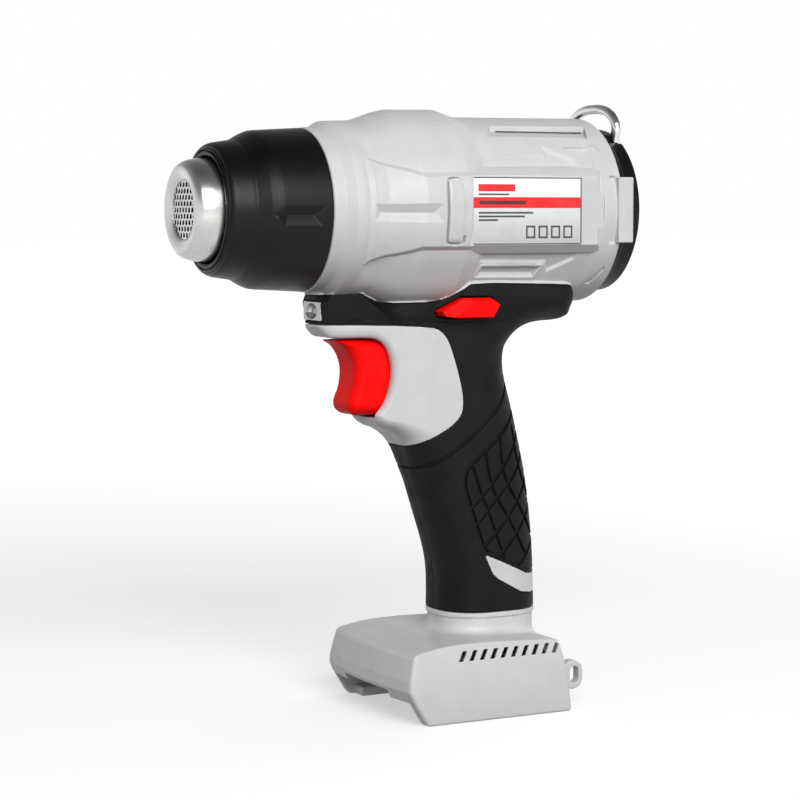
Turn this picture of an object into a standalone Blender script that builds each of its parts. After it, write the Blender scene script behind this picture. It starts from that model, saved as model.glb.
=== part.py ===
"""Cordless heat gun (tool only, without its battery).

Frame: +Z up, the outlet points to -Y, +X is the user's left. The tool stands on its battery
foot at Z = 0. Every piece is laid out in millimetres from the barrel's axis: y runs backwards
along the barrel and z runs up from its axis. The empty "barrel_axis" carries the assembly.
"""

import math

import bmesh
import bpy
from mathutils import Vector

MM = 0.001

# Where the barrel's axis lies above the foot's sole, and the length that centres the tool on Y = 0.
AXIS_HEIGHT = 184.45
AXIS_SHIFT = 0.5

GAP = 0.3  # between pieces that touch
SEAM = 0.15  # from the middle plane to each clamshell half
WALL = 2.5  # of the housing
SKIN = 1.9  # of the rubber over-mould
ROUND_STEPS = 32  # sides of the barrel
RING_POINTS = 24  # points round the grip

# Barrel outside: (y, radius)
BARREL_FRONT = -40.0
BARREL_REAR = 74.7
BARREL_OUTER = [
    (BARREL_FRONT, 29.4),
    (-35.5, 29.6),
    (-31.5, 31.8),
    (-20.0, 32.3),
    (-11.0, 35.4),
    (-6.5, 36.4),
    (10.7, 36.7),
    (19.0, 34.2),
    (70.0, 34.6),
    (BARREL_REAR, 33.6),
]
BARREL_INNER = [
    (BARREL_FRONT - 1.0, 26.9),
    (-33.0, 26.9),
    (-30.0, 29.0),
    (-12.0, 29.4),
    (-6.0, 33.2),
    (10.0, 33.4),
    (17.0, 30.8),
    (BARREL_REAR + 1.0, 30.8),
]
SIDE_PAD_X = 33.6
SIDE_PAD_Y = (9.0, 71.0)
SIDE_PAD_HALF_HEIGHT = 14.8

# Band under the barrel and grip: (z, front y, rear y, half width)
GRIP_SECTIONS = [
    (-22.0, -37.0, 66.0, 22.0),
    (-32.0, -37.2, 66.5, 22.5),
    (-38.0, -37.0, 66.0, 22.2),
    (-40.5, -36.3, 60.0, 21.5),
    (-43.0, -35.5, 50.5, 20.0),
    (-46.0, -31.5, 46.0, 18.8),
    (-51.0, -27.0, 41.8, 17.9),
    (-57.0, -24.0, 40.0, 17.5),
    (-65.0, -21.0, 41.1, 17.5),
    (-73.0, -17.0, 43.5, 17.5),
    (-79.0, -11.8, 45.3, 17.3),
    (-84.0, -3.4, 46.4, 17.0),
    (-89.0, 0.2, 47.8, 17.0),
    (-100.0, 3.7, 50.2, 17.0),
    (-112.0, 7.7, 51.8, 17.0),
    (-125.0, 12.0, 52.6, 17.0),
    (-133.0, 13.8, 53.1, 17.0),
    (-149.6, 13.9, 53.3, 17.2),
]
GRIP_FULLNESS = 2.4  # exponent of the oval section
GRIP_SKEW = 0.12  # how much wider the heel of the hand is than the finger side
GRIP_BOTTOM = -149.6
CORE_TOP = (-22.0, -37.0, 66.0, 22.0)
CORE_BOTTOM = (-152.0, 13.9, 53.3, 17.2)

NECK_SECTIONS = [
    (-149.9, 13.7, 53.4, 17.0),
    (-155.0, 12.6, 53.4, 17.3),
    (-157.5, 9.0, 52.5, 21.0),
    (-160.0, 4.0, 50.0, 25.0),
]

# Foot: (z, front y, rear y, half width)
SOLE = -AXIS_HEIGHT
FOOT_SECTIONS = [
    (-153.8, 0.0, 46.0, 20.0),
    (-156.3, -8.0, 48.6, 29.5),
    (-158.7, -10.7, 49.7, 31.3),
    (-171.5, -12.9, 52.8, 35.0),
    (SOLE, -7.0, 54.2, 33.0),
]
FOOT_CORNER = 4.0
SLOT_HALF_WIDTH = 30.5
SLOT_ROOF = -176.0
SLOT_REAR = 47.0
RAIL_HALF_WIDTH = 24.0
RAIL_TOP = -181.0
RAIL_FRONT = -4.0
DECK_TOP = -173.5
FOOT_HOLLOW_TOP = -160.0
FOOT_HOLLOW = [
    (FOOT_HOLLOW_TOP, -9.5, 48.5, 31.0),
    (DECK_TOP, -12.5, 52.5, 34.5),
]
THROAT = ((-11.0, 11.0), (20.5, 46.0), (-166.0, -125.0))  # joins the grip's and the foot's inside
CONTACT_WINDOW = ((-11.0, 11.0), (10.0, 38.0), (-180.0, -170.0))

# Outlines seen from the side: (y, z)
BAND_AND_GRIP_OUTLINE = [
    (-46.0, -29.6),
    (-38.0, -30.3),
    (-24.0, -29.0),
    (-13.9, -33.1),
    (6.3, -32.7),
    (17.8, -27.0),
    (58.2, -26.4),
    (75.0, -29.8),
    (75.0, GRIP_BOTTOM),
    (-46.0, GRIP_BOTTOM),
]
SURROUND_OUTLINE = [
    (-60.0, -40.8),
    (3.7, -42.1),
    (11.1, -46.7),
    (14.2, -55.6),
    (17.6, -69.5),
    (16.1, -75.0),
    (11.4, -78.4),
    (1.2, -84.6),
    (-5.1, -87.1),
    (-9.0, -87.0),
    (-30.0, -91.0),
    (-60.0, -91.0),
]
CHEVRON_OUTLINE = [
    (26.4, -126.6),
    (30.4, -134.9),
    (43.7, -142.4),
    (75.0, -142.4),
    (75.0, -135.5),
    (45.9, -135.8),
    (34.1, -130.0),
]
NOTCH_OUTLINE = [
    (-60.0, -46.1),
    (-17.1, -45.9),
    (-13.4, -46.9),
    (-10.5, -50.3),
    (-8.7, -57.0),
    (-9.6, -64.5),
    (-12.4, -70.6),
    (-15.2, -73.2),
    (-15.6, -75.1),
    (-60.0, -75.1),
]

# Trigger, its switch and the lock button
TRIGGER_TRAVEL = 6.0
TRIGGER_HALF_WIDTH = 9.3
TRIGGER_BACK = -5.0
TRIGGER_OUTLINE = [
    (TRIGGER_BACK, -46.7),
    (-29.0, -46.7),
    (-26.0, -48.8),
    (-23.2, -52.0),
    (-21.8, -56.3),
    (-21.7, -60.5),
    (-22.6, -64.7),
    (-24.2, -67.5),
    (-24.5, -70.0),
    (-22.8, -73.0),
    (-19.5, -74.5),
    (TRIGGER_BACK, -74.5),
]
POCKET_REAR = 2.5
POCKET_HALF_WIDTH = 9.9
POCKET_Z = (-75.1, -46.1)
SWITCH_Y = (3.0, 31.0)
SWITCH_Z = (-70.0, -48.0)
SWITCH_HALF_WIDTH = 8.5
PLUNGER_Z = -58.0
PLUNGER_RADIUS = 2.5
PLUNGER_REAR = 15.0
LOCK_OUTLINE = [
    (5.5, -36.4),
    (14.1, -31.6),
    (25.0, -31.6),
    (28.7, -34.2),
    (25.8, -38.8),
    (11.5, -39.0),
    (6.8, -38.2),
]
LOCK_X = (-19.2, 24.7)
LOCK_MIDDLE = (16.5, -35.3)
LOCK_WINDOW_SCALE = (1.035, 1.09)
LOCK_ORIGIN = (0.0, 17.0, -35.3)

# Work light under the nozzle: each box as x, y and z limits
LED_WINDOW = ((-7.3, 7.3), (-50.0, -28.0), (-40.1, -32.3))
REFLECTOR = ((-7.0, 7.0), (-36.6, -30.4), (-39.8, -32.6))
REFLECTOR_BOWL = ((-6.0, 6.0), (-40.0, -32.4), (-38.9, -33.5))
LED_BOARD = ((-6.5, 6.5), (-29.8, -28.4), (-39.6, -32.8))
LENS_Z = -36.2
LENS_HOLE_RADIUS = 1.6
LENS_SECTION = [(-35.4, 0.0), (-35.2, 0.6), (-34.6, 1.1), (-33.9, 1.3), (-30.1, 1.3), (-30.1, 0.0)]

# Electrics: each box as x, y and z limits
CONTROL_BOARD = ((-6.0, -4.4), (20.0, 38.0), (-128.0, -86.0))
TERMINAL_BLOCK = ((-10.7, 10.7), (10.3, 37.7), (-182.0, -171.5))
TERMINAL_FLANGE = ((-13.0, 13.0), (8.0, 40.0), (DECK_TOP + GAP, -171.0))
BLADE_CENTRES = (-6.0, 0.0, 6.0)
BLADE_HALF_WIDTH = 0.4
BLADE_YZ = ((11.0, 29.7), (-181.5, -176.8))
BLADE_SLOT_HALF_WIDTH = 1.0
BLADE_SLOT_YZ = ((9.0, 30.0), (-184.0, -176.5))

# Nozzle and heater: (y, radius) round closed sections, from the front over the outside
COLLAR_SECTION = [
    (-69.6, 19.0),
    (-69.6, 23.2),
    (-67.8, 24.6),
    (-64.0, 27.0),
    (-62.0, 27.4),
    (BARREL_FRONT - GAP, 29.3),
    (BARREL_FRONT - GAP, 26.5),
    (-34.0, 26.5),
    (-34.0, 24.2),
    (-60.0, 24.2),
    (-66.0, 19.0),
]
TUBE_SECTION = [
    (-86.3, 14.4),
    (-86.3, 15.0),
    (-85.6, 16.0),
    (-82.6, 17.0),
    (-80.3, 17.9),
    (-78.0, 18.1),
    (-10.0, 18.1),
    (-10.0, 17.5),
    (-79.0, 17.4),
    (-83.0, 15.9),
    (-84.7, 14.5),
    (-84.2, 12.6),
    (-83.9, 10.4),
    (-84.5, 10.4),
    (-84.9, 12.6),
]
SLEEVE_SECTION = [(-70.0, 16.4), (-70.0, 17.1), (-12.0, 17.1), (-12.0, 16.4)]
GRILLE_Y = (-83.6, -82.6)
GRILLE_RADIUS = 12.2
GRILLE_PITCH = 3.7
GRILLE_HOLE_RADIUS = 1.3
GRILLE_ROWS = 3
GRILLE_REACH = 10.2  # farthest hole centre
FUSE_RADIUS = 2.0
FUSE_LENGTH = 11.0
FUSE_PLACE = (8.0, -2.0, 5.0)
FORMER_THICKNESS = 1.0
FORMER_Y = (-66.0, -10.0)
FORMER_HALF_WIDTH = 13.2
COIL_RADIUS = 14.5
COIL_WIRE_RADIUS = 0.6
COIL_TURNS = 6
COIL_TURN_POINTS = 12
COIL_Y = (-62.0, -14.0)

# Blower
SHAFT_RADIUS = 1.5
SHAFT_Y = (10.0, 44.0)
IMPELLER_Y = (12.0, 25.0)
IMPELLER_RADIUS = 27.0
IMPELLER_BLADES = 9
MOTOR_Y = (32.0, 66.0)
MOTOR_RADIUS = 14.0
MOUNT_Y = (40.0, 50.0)
MOUNT_RADII = (28.4, 30.4)
MOUNT_RING = 2.0
MOUNT_ARMS = 3
BLADE_THICKNESS = 1.2

# Rear cap and hook
CAP_SECTION = [
    (83.0, 0.0),
    (83.0, 24.4),
    (80.0, 28.4),
    (67.0, 28.4),
    (67.0, 30.5),
    (BARREL_REAR + GAP, 30.5),
    (BARREL_REAR + GAP, 31.5),
    (78.5, 31.2),
    (81.0, 30.3),
    (83.0, 28.8),
    (84.4, 27.2),
    (85.3, 24.7),
    (85.3, 0.0),
]
CAP_RIM = (BARREL_REAR + GAP, 31.5)
CAP_INSIDE = 0.1  # how far the hook's ears stay inside the cap
EAR = ((9.5, 20.5), (76.0, 84.5), (14.0, 30.0))
HOOK_NOTCH = ((12.2, 17.6), (79.4, 95.0), (17.2, 50.0))
HOOK_HOLE_X = (8.0, 13.0)
INTAKE_SLITS = 3  # on each side of the middle one
INTAKE_PITCH = 5.0
INTAKE_HALF_HEIGHT = 1.1
INTAKE_RADIUS = 22.0
INTAKE_MARGIN = 2.0
INTAKE_TOP_HALF_WIDTH = 8.5  # the top slit ends between the hook's ears
INTAKE_Y = (80.0, 90.0)

# Clips that hold the cap to the housing
CLIP_X = (30.0, 32.6)
CLIP_Y = (66.0, 79.0)
CLIP_HALF_HEIGHT = 12.0
HOOK_PIVOT_Y = 82.6
HOOK_PIVOT_Z = 21.0
HOOK_LEG_X = 14.5
HOOK_WIRE_RADIUS = 1.9
HOOK_HALF_WIDTH = 16.4
HOOK_CROWN_Z = 38.0
HOOK_PIN_END = 8.5
HOOK_BEND = 2.3
HOOK_SHOULDER_Z = 30.0
HOOK_WAIST = (0.9, 26.5)  # how far the leg leans out, and at what height
HOOK_CROWN_STEPS = 7
HOOK_CROWN_FULLNESS = 0.85

LABEL_Y = (12.2, 57.2)
LABEL_Z = (-12.3, 11.6)
LABEL_X = (32.35, 33.1)

# Clamshell screws: (y, z, x of the head's face on the -X side)
SCREWS = [
    (-22.0, 25.5, -15.0),
    (62.0, 27.5, -16.5),
    (-26.0, -26.5, -14.0),
    (62.0, -27.5, -16.5),
    (37.0, -77.0, -11.0),
    (30.0, -138.0, -13.5),
    (44.5, -166.3, -28.5),
    (-4.5, -166.3, -28.5),
]
SCREW_HEAD_RADIUS = 2.8
SCREW_HEAD_HEIGHT = 2.0
SCREW_SHANK_RADIUS = 1.5
SCREW_TIP_X = 8.5
BOSS_RADIUS = 4.4
RECESS_DEPTH = 1.0
RECESS_HALF_LENGTH = 1.4
RECESS_HALF_WIDTH = 0.4

VENT_COUNT = 10
VENT_FIRST_Y = 8.1
VENT_PITCH = 4.3
VENT_Z = -160.4
VENT_HALF_HEIGHT = 1.9
VENT_WIDTH = 1.4
VENT_SLANT = 1.0

# Lanyard eye behind the foot's left side
EYE_X = (26.5, 30.8)
EYE_Y = 57.0
EYE_Z = -171.8
EYE_RADIUS = 5.0
EYE_HOLE_RADIUS = 2.3
EYE_HOLE_OFFSET = 1.2
EYE_HOLE_X = (24.0, 40.0)
EYE_ROOT_Y = 46.0

# Materials: base colour, roughness, metallic
GREY_ABS = ((0.55, 0.56, 0.57), 0.45, 0.0)
BLACK_RUBBER = ((0.02, 0.02, 0.022), 0.75, 0.0)
BLACK_NYLON = ((0.015, 0.015, 0.016), 0.5, 0.0)
RED_PLASTIC = ((0.8, 0.02, 0.01), 0.35, 0.0)
STEEL = ((0.6, 0.6, 0.6), 0.25, 1.0)
CHROME = ((0.8, 0.8, 0.82), 0.08, 1.0)
CLEAR_LENS = ((0.85, 0.9, 0.95), 0.05, 0.0)
MICA = ((0.6, 0.55, 0.4), 0.6, 0.0)
BOARD_GREEN = ((0.02, 0.18, 0.06), 0.5, 0.0)
BRASS = ((0.75, 0.5, 0.2), 0.3, 1.0)
LABEL_WHITE = ((0.85, 0.85, 0.85), 0.4, 0.0)

EVERYWHERE = 60.0  # a cutter's half width, past every side of the tool
BODY_Y = (-120.0, 120.0)
BODY_Z = (-200.0, 80.0)


# ---------------------------------------------------------------- scene helpers


def clear_scene():
    for obj in list(bpy.data.objects):
        bpy.data.objects.remove(obj, do_unlink=True)
    parts = bpy.data.collections.new("heat_gun")
    cutters = bpy.data.collections.new("cutters")
    bpy.context.scene.collection.children.link(parts)
    bpy.context.scene.collection.children.link(cutters)
    return parts, cutters


PARTS, CUTTERS = clear_scene()
BARREL_AXIS = bpy.data.objects.new("barrel_axis", None)
BARREL_AXIS.location = (0.0, AXIS_SHIFT * MM, AXIS_HEIGHT * MM)
PARTS.objects.link(BARREL_AXIS)
MATERIALS = {}


def material(look):
    """The Principled material of one (colour, roughness, metallic) look, made once."""
    if look not in MATERIALS:
        made = bpy.data.materials.new("look_%d" % len(MATERIALS))
        made.use_nodes = True
        colour, roughness, metallic = look
        shader = made.node_tree.nodes["Principled BSDF"]
        shader.inputs["Base Color"].default_value = (*colour, 1.0)
        shader.inputs["Roughness"].default_value = roughness
        shader.inputs["Metallic"].default_value = metallic
        MATERIALS[look] = made
    return MATERIALS[look]


def helper_object(name, data):
    """An object in the cutters collection, which the build leaves out."""
    obj = bpy.data.objects.new(name, data)
    CUTTERS.objects.link(obj)
    obj.hide_render = True
    obj.display_type = "WIRE"
    return obj


def finish(obj, name, look, origin=None):
    """Turns a helper into a named node with its own material, hung on the barrel's axis."""
    CUTTERS.objects.unlink(obj)
    PARTS.objects.link(obj)
    obj.hide_render = False
    obj.display_type = "TEXTURED"
    obj.name = name
    obj.data.name = name
    obj.data.materials.clear()
    obj.data.materials.append(material(look).copy())
    obj.data.materials[0].name = name
    if origin is not None:
        shift = Vector(origin) * MM
        for vertex in obj.data.vertices:
            vertex.co -= shift
        obj.location = shift
    obj.data.shade_smooth()
    obj.data.set_sharp_from_angle(angle=math.radians(35))
    obj.parent = BARREL_AXIS
    return obj


def freeze(obj):
    """The object as its modifiers leave it, as a plain mesh at the origin; the source goes."""
    bpy.context.view_layer.update()
    graph = bpy.context.evaluated_depsgraph_get()
    mesh = bpy.data.meshes.new_from_object(obj.evaluated_get(graph))
    mesh.transform(obj.matrix_world)
    work = bmesh.new()
    work.from_mesh(mesh)
    bmesh.ops.remove_doubles(work, verts=work.verts, dist=1e-6)
    work.to_mesh(mesh)
    work.free()
    frozen = helper_object(obj.name + "_solid", mesh)
    bpy.data.objects.remove(obj, do_unlink=True)
    return frozen


def copy_of(obj, name):
    return helper_object(name, obj.data.copy())


def combine(target, operation, *others):
    """Adds a live EXACT Boolean for each of the others, which become cutters."""
    for other in others:
        modifier = target.modifiers.new(other.name, "BOOLEAN")
        modifier.operation = operation
        modifier.solver = "EXACT"
        modifier.object = other
    return target


def cut(target, *others):
    return combine(target, "DIFFERENCE", *others)


def join(target, *others):
    return combine(target, "UNION", *others)


def keep(target, *others):
    return combine(target, "INTERSECT", *others)


# ---------------------------------------------------------------- shape helpers


def box(name, x, y, z):
    """A block between the limits of each axis."""
    work = bmesh.new()
    bmesh.ops.create_cube(work, size=1.0)
    for vertex in work.verts:
        for axis, (low, high) in enumerate((x, y, z)):
            vertex.co[axis] = (low if vertex.co[axis] < 0 else high) * MM
    mesh = bpy.data.meshes.new(name)
    work.to_mesh(mesh)
    work.free()
    return helper_object(name, mesh)


def on_side(side, limits):
    """X limits given for the +X side, in order, on the side asked for (1 or -1)."""
    return tuple(sorted((side * limits[0], side * limits[1])))


def rod(name, radius, x, y, z, sides=16):
    """A cylinder along whichever axis is given as a (from, to) pair."""
    along = next(i for i, limit in enumerate((x, y, z)) if isinstance(limit, tuple))
    low, high = (x, y, z)[along]
    work = bmesh.new()
    bmesh.ops.create_cone(
        work,
        cap_ends=True,
        segments=sides,
        radius1=radius * MM,
        radius2=radius * MM,
        depth=(high - low) * MM,
    )
    turned_to = ("X", "Y", "Z")[along]
    turn = Vector((0, 0, 1)).rotation_difference(
        Vector([1.0 if a == turned_to else 0.0 for a in "XYZ"])
    )
    centre = [(low + high) / 2 if i == along else v for i, v in enumerate((x, y, z))]
    for vertex in work.verts:
        vertex.co = turn @ vertex.co + Vector(centre) * MM
    mesh = bpy.data.meshes.new(name)
    work.to_mesh(mesh)
    work.free()
    return helper_object(name, mesh)


def turned(name, section, closed, steps=ROUND_STEPS):
    """A section of (y, radius) points spun round the barrel's axis with a Screw modifier."""
    mesh = bpy.data.meshes.new(name)
    points = [(radius * MM, 0.0, -y * MM) for y, radius in section]
    edges = [(i, i + 1) for i in range(len(points) - 1)]
    if closed:
        edges.append((len(points) - 1, 0))
    mesh.from_pydata(points, edges, [])
    obj = helper_object(name, mesh)
    obj.rotation_euler = (math.radians(90), 0, 0)
    screw = obj.modifiers.new("spin", "SCREW")
    screw.axis = "Z"
    screw.steps = steps
    screw.render_steps = steps
    screw.use_merge_vertices = True
    screw.merge_threshold = 1e-5
    screw.use_smooth_shade = True
    return freeze(obj)


def spun_solid(name, outline, steps=ROUND_STEPS):
    """A full solid of revolution: the outline's two ends are taken to the axis."""
    section = [(outline[0][0], 0.0), *outline, (outline[-1][0], 0.0)]
    return turned(name, section, False, steps)


def plate(name, outline, x):
    """A flat outline of (y, z) points, extruded between two x values."""
    curve = bpy.data.curves.new(name, "CURVE")
    curve.dimensions = "2D"
    curve.fill_mode = "BOTH"
    curve.extrude = (x[1] - x[0]) / 2 * MM
    spline = curve.splines.new("POLY")
    spline.points.add(len(outline) - 1)
    for point, (y, z) in zip(spline.points, outline):
        point.co = (y * MM, z * MM, 0.0, 1.0)
    spline.use_cyclic_u = True
    obj = bpy.data.objects.new(name, curve)
    CUTTERS.objects.link(obj)
    obj.rotation_euler = (math.radians(90), 0, math.radians(90))
    obj.location = ((x[0] + x[1]) / 2 * MM, 0, 0)
    return facing_out(freeze(obj))


def facing_out(obj):
    work = bmesh.new()
    work.from_mesh(obj.data)
    bmesh.ops.recalc_face_normals(work, faces=work.faces)
    work.to_mesh(obj.data)
    work.free()
    return obj


def lofted(name, rings):
    """A solid through rings of equal point counts, closed with a flat face at each end."""
    work = bmesh.new()
    levels = [[work.verts.new(Vector(point) * MM) for point in ring] for ring in rings]
    count = len(levels[0])
    for lower, upper in zip(levels, levels[1:]):
        for i in range(count):
            j = (i + 1) % count
            work.faces.new((lower[i], lower[j], upper[j], upper[i]))
    work.faces.new(levels[0])
    work.faces.new(levels[-1])
    mesh = bpy.data.meshes.new(name)
    work.to_mesh(mesh)
    work.free()
    return facing_out(helper_object(name, mesh))


def signed_power(value, power):
    return math.copysign(abs(value) ** power, value)


def grip_ring(z, front, rear, half_width, inset):
    """An egg-shaped level section of the grip: blunt at the back, narrower at the fingers."""
    middle = (front + rear) / 2
    reach = (rear - front) / 2 - inset
    width = half_width - inset
    ring = []
    for i in range(RING_POINTS):
        angle = 2 * math.pi * i / RING_POINTS
        along = signed_power(math.cos(angle), 2 / GRIP_FULLNESS)
        across = signed_power(math.sin(angle), 2 / GRIP_FULLNESS)
        ring.append((width * across * (1 + GRIP_SKEW * along), middle + reach * along, z))
    return ring


def grip_solid(name, inset, sections=GRIP_SECTIONS):
    return lofted(name, [grip_ring(*section, inset) for section in sections])


def foot_ring(z, front, rear, half_width, inset=0.0):
    """A level section of the foot: a rectangle with three-point rounded corners."""
    x = half_width - inset
    low = front + inset
    high = rear - inset
    corner = FOOT_CORNER
    slack = corner * (1 - math.sqrt(0.5))
    return [
        (x - corner, high, z),
        (x - slack, high - slack, z),
        (x, high - corner, z),
        (x, low + corner, z),
        (x - slack, low + slack, z),
        (x - corner, low, z),
        (corner - x, low, z),
        (slack - x, low + slack, z),
        (-x, low + corner, z),
        (-x, high - corner, z),
        (slack - x, high - slack, z),
        (corner - x, high, z),
    ]


# ---------------------------------------------------------------- housing


def housing_outside():
    """Barrel, grip core, grey areas level with the rubber, neck and foot, as one solid."""
    barrel = spun_solid("barrel", BARREL_OUTER)
    pad_z = (-SIDE_PAD_HALF_HEIGHT, SIDE_PAD_HALF_HEIGHT)
    pad = box("side_pad", (-SIDE_PAD_X, SIDE_PAD_X), SIDE_PAD_Y, pad_z)
    core = grip_solid("core", SKIN, [CORE_TOP] + GRIP_SECTIONS[1:-1] + [CORE_BOTTOM])
    bare = keep(
        join(
            plate("surround", SURROUND_OUTLINE, (-EVERYWHERE, EVERYWHERE)),
            plate("chevron", CHEVRON_OUTLINE, (-EVERYWHERE, EVERYWHERE)),
        ),
        grip_solid("envelope", 0.0),
    )
    neck = grip_solid("neck", 0.0, NECK_SECTIONS)
    foot = lofted("foot", [foot_ring(*section) for section in FOOT_SECTIONS])
    root_x = (EYE_X[0] + 0.1, EYE_X[1] - 0.1)
    root_z = (EYE_Z - EYE_RADIUS + 0.2, EYE_Z + EYE_RADIUS - 0.2)
    eye = join(
        rod("eye_round", EYE_RADIUS, EYE_X, EYE_Y - 0.6, EYE_Z, 20),
        box("eye_root", root_x, (EYE_ROOT_Y, EYE_Y - 0.2), root_z),
    )
    clip_z = (-CLIP_HALF_HEIGHT, CLIP_HALF_HEIGHT)
    clips = [box("clip_%d" % side, on_side(side, CLIP_X), CLIP_Y, clip_z) for side in (-1, 1)]
    return freeze(join(barrel, pad, freeze(core), freeze(bare), neck, foot, freeze(eye), *clips))


def housing_hollow():
    """All the space inside the housing, less the screw bosses that stay in it."""
    grip_inside = grip_solid("grip_inside", SKIN + WALL, GRIP_SECTIONS[1:-1])
    barrel_inside = spun_solid("barrel_inside", BARREL_INNER)
    foot_inside = lofted("foot_inside", [foot_ring(*section, WALL) for section in FOOT_HOLLOW])
    throat = box("throat", *THROAT)
    bosses = [
        rod("boss_%d" % i, BOSS_RADIUS, (-EVERYWHERE, EVERYWHERE), y, z, 12)
        for i, (y, z, _) in enumerate(SCREWS)
    ]
    hollow = join(barrel_inside, grip_inside, foot_inside, throat)
    return freeze(cut(hollow, *bosses))


def housing_openings():
    """Cutters for everything that opens through the housing's walls, on both halves."""
    slot_x = (-SLOT_HALF_WIDTH, SLOT_HALF_WIDTH)
    slot = box("slot", slot_x, (-EVERYWHERE, SLOT_REAR), (SOLE - 5.0, SLOT_ROOF))
    rail_x = (RAIL_HALF_WIDTH, SLOT_HALF_WIDTH + 5)
    rail_y = (RAIL_FRONT, SLOT_REAR + 5)
    rails = [
        box("rail_%d" % side, on_side(side, rail_x), rail_y, (SOLE - 10.0, RAIL_TOP))
        for side in (-1, 1)
    ]
    pocket_x = (-POCKET_HALF_WIDTH, POCKET_HALF_WIDTH)
    eye_low = EYE_Z - EYE_HOLE_OFFSET
    eye_high = EYE_Z + EYE_HOLE_OFFSET
    eye_y = (EYE_Y - EYE_HOLE_RADIUS, EYE_Y + EYE_HOLE_RADIUS)
    cutters = [
        freeze(cut(slot, *rails)),
        plate("notch", NOTCH_OUTLINE, (-EVERYWHERE, EVERYWHERE)),
        box("pocket", pocket_x, (-EVERYWHERE, POCKET_REAR), POCKET_Z),
        plate("lock_window", lock_window(), (-EVERYWHERE, EVERYWHERE)),
        box("led_window", *LED_WINDOW),
        box("contact_window", *CONTACT_WINDOW),
        box("label_seat", (LABEL_X[0] - GAP, EVERYWHERE), LABEL_Y, LABEL_Z),
        rod("eye_hole_upper", EYE_HOLE_RADIUS, EYE_HOLE_X, EYE_Y, eye_high),
        rod("eye_hole_lower", EYE_HOLE_RADIUS, EYE_HOLE_X, EYE_Y, eye_low),
        box("eye_hole_middle", EYE_HOLE_X, eye_y, (eye_low, eye_high)),
    ]
    for i in range(VENT_COUNT):
        y = VENT_FIRST_Y + i * VENT_PITCH
        low = VENT_Z - VENT_HALF_HEIGHT
        high = VENT_Z + VENT_HALF_HEIGHT
        slanted = y + VENT_SLANT
        slit = [(y, low), (y + VENT_WIDTH, low), (slanted + VENT_WIDTH, high), (slanted, high)]
        cutters.append(plate("vent_%d" % i, slit, (-EVERYWHERE, EVERYWHERE)))
    return cutters


def lock_window():
    """The lock button's outline, opened up so the button slides freely in it."""
    middle_y, middle_z = LOCK_MIDDLE
    wider, taller = LOCK_WINDOW_SCALE
    return [(middle_y + (y - middle_y) * wider, middle_z + (z - middle_z) * taller) for y, z in LOCK_OUTLINE]


def screw_holes(half):
    """Counterbored clearance holes on the -X half, blind pilot holes on the +X half."""
    holes = []
    for i, (y, z, head_x) in enumerate(SCREWS):
        tag = "%s_%d" % (half, i)
        seat = head_x + SCREW_HEAD_HEIGHT + GAP
        if half == "right":
            holes.append(rod("sink_" + tag, SCREW_HEAD_RADIUS + GAP, (-EVERYWHERE, seat), y, z, 14))
            holes.append(rod("through_" + tag, SCREW_SHANK_RADIUS + GAP, (seat - 1.0, 3.0), y, z, 12))
        else:
            holes.append(rod("pilot_" + tag, SCREW_SHANK_RADIUS + GAP, (-3.0, SCREW_TIP_X + 1), y, z, 12))
    return holes


def build_housing():
    shell = housing_outside()
    cut(shell, housing_hollow(), *housing_openings())
    shell = freeze(shell)
    for half, side in (("left", 1), ("right", -1)):
        body = copy_of(shell, "shell_" + half)
        space = box("side_" + half, on_side(side, (SEAM, EVERYWHERE)), BODY_Y, BODY_Z)
        keep(body, space)
        cut(body, *screw_holes(half))
        finish(freeze(body), "housing_" + half, GREY_ABS)


def build_grip_covers():
    """The rubber skin: the grip's envelope less its core, the barrel and the bare grey areas."""
    barrel = [(y, radius + GAP) for y, radius in BARREL_OUTER]
    barrel[0] = (BARREL_FRONT - 5.0, barrel[0][1])
    barrel[-1] = (BARREL_REAR + 5.0, barrel[-1][1])
    skin = grip_solid("skin", 0.0)
    keep(skin, plate("skin_side", BAND_AND_GRIP_OUTLINE, (-EVERYWHERE, EVERYWHERE)))
    cut(
        skin,
        grip_solid("skin_core", SKIN - GAP, GRIP_SECTIONS[:-1] + [CORE_BOTTOM]),
        spun_solid("skin_barrel", barrel),
        plate("skin_surround", grown(SURROUND_OUTLINE, GAP), (-EVERYWHERE, EVERYWHERE)),
        plate("skin_chevron", grown(CHEVRON_OUTLINE, GAP), (-EVERYWHERE, EVERYWHERE)),
        plate("skin_lock", lock_window(), (-EVERYWHERE, EVERYWHERE)),
        box("skin_led", *LED_WINDOW),
    )
    skin = freeze(skin)
    for half, side in (("left", 1), ("right", -1)):
        body = copy_of(skin, "skin_" + half)
        space = box("skin_side_" + half, on_side(side, (SEAM, EVERYWHERE)), BODY_Y, BODY_Z)
        keep(body, space)
        if half == "right":
            holes = [
                rod("skin_sink_%d" % i, SCREW_HEAD_RADIUS + 2 * GAP, (-EVERYWHERE, 0.0), y, z, 14)
                for i, (y, z, _) in enumerate(SCREWS)
                if GRIP_BOTTOM < z < GRIP_SECTIONS[0][0]
            ]
            cut(body, *holes)
        finish(freeze(body), "grip_cover_" + half, BLACK_RUBBER)


def grown(outline, amount):
    """The outline moved outwards by an amount, corner by corner."""
    area = sum(a[0] * b[1] - b[0] * a[1] for a, b in zip(outline, outline[1:] + outline[:1]))
    side = math.copysign(1.0, area)
    result = []
    for i, (y, z) in enumerate(outline):
        before = Vector(outline[i - 1])
        after = Vector(outline[(i + 1) % len(outline)])
        here = Vector((y, z))
        normals = []
        for edge in (here - before, after - here):
            edge.normalize()
            normals.append(Vector((edge.y, -edge.x)) * side)
        mean = (normals[0] + normals[1]).normalized()
        spread = max(mean.dot(normals[0]), 0.5)
        result.append(tuple(here + mean * (amount / spread)))
    return result


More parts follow.
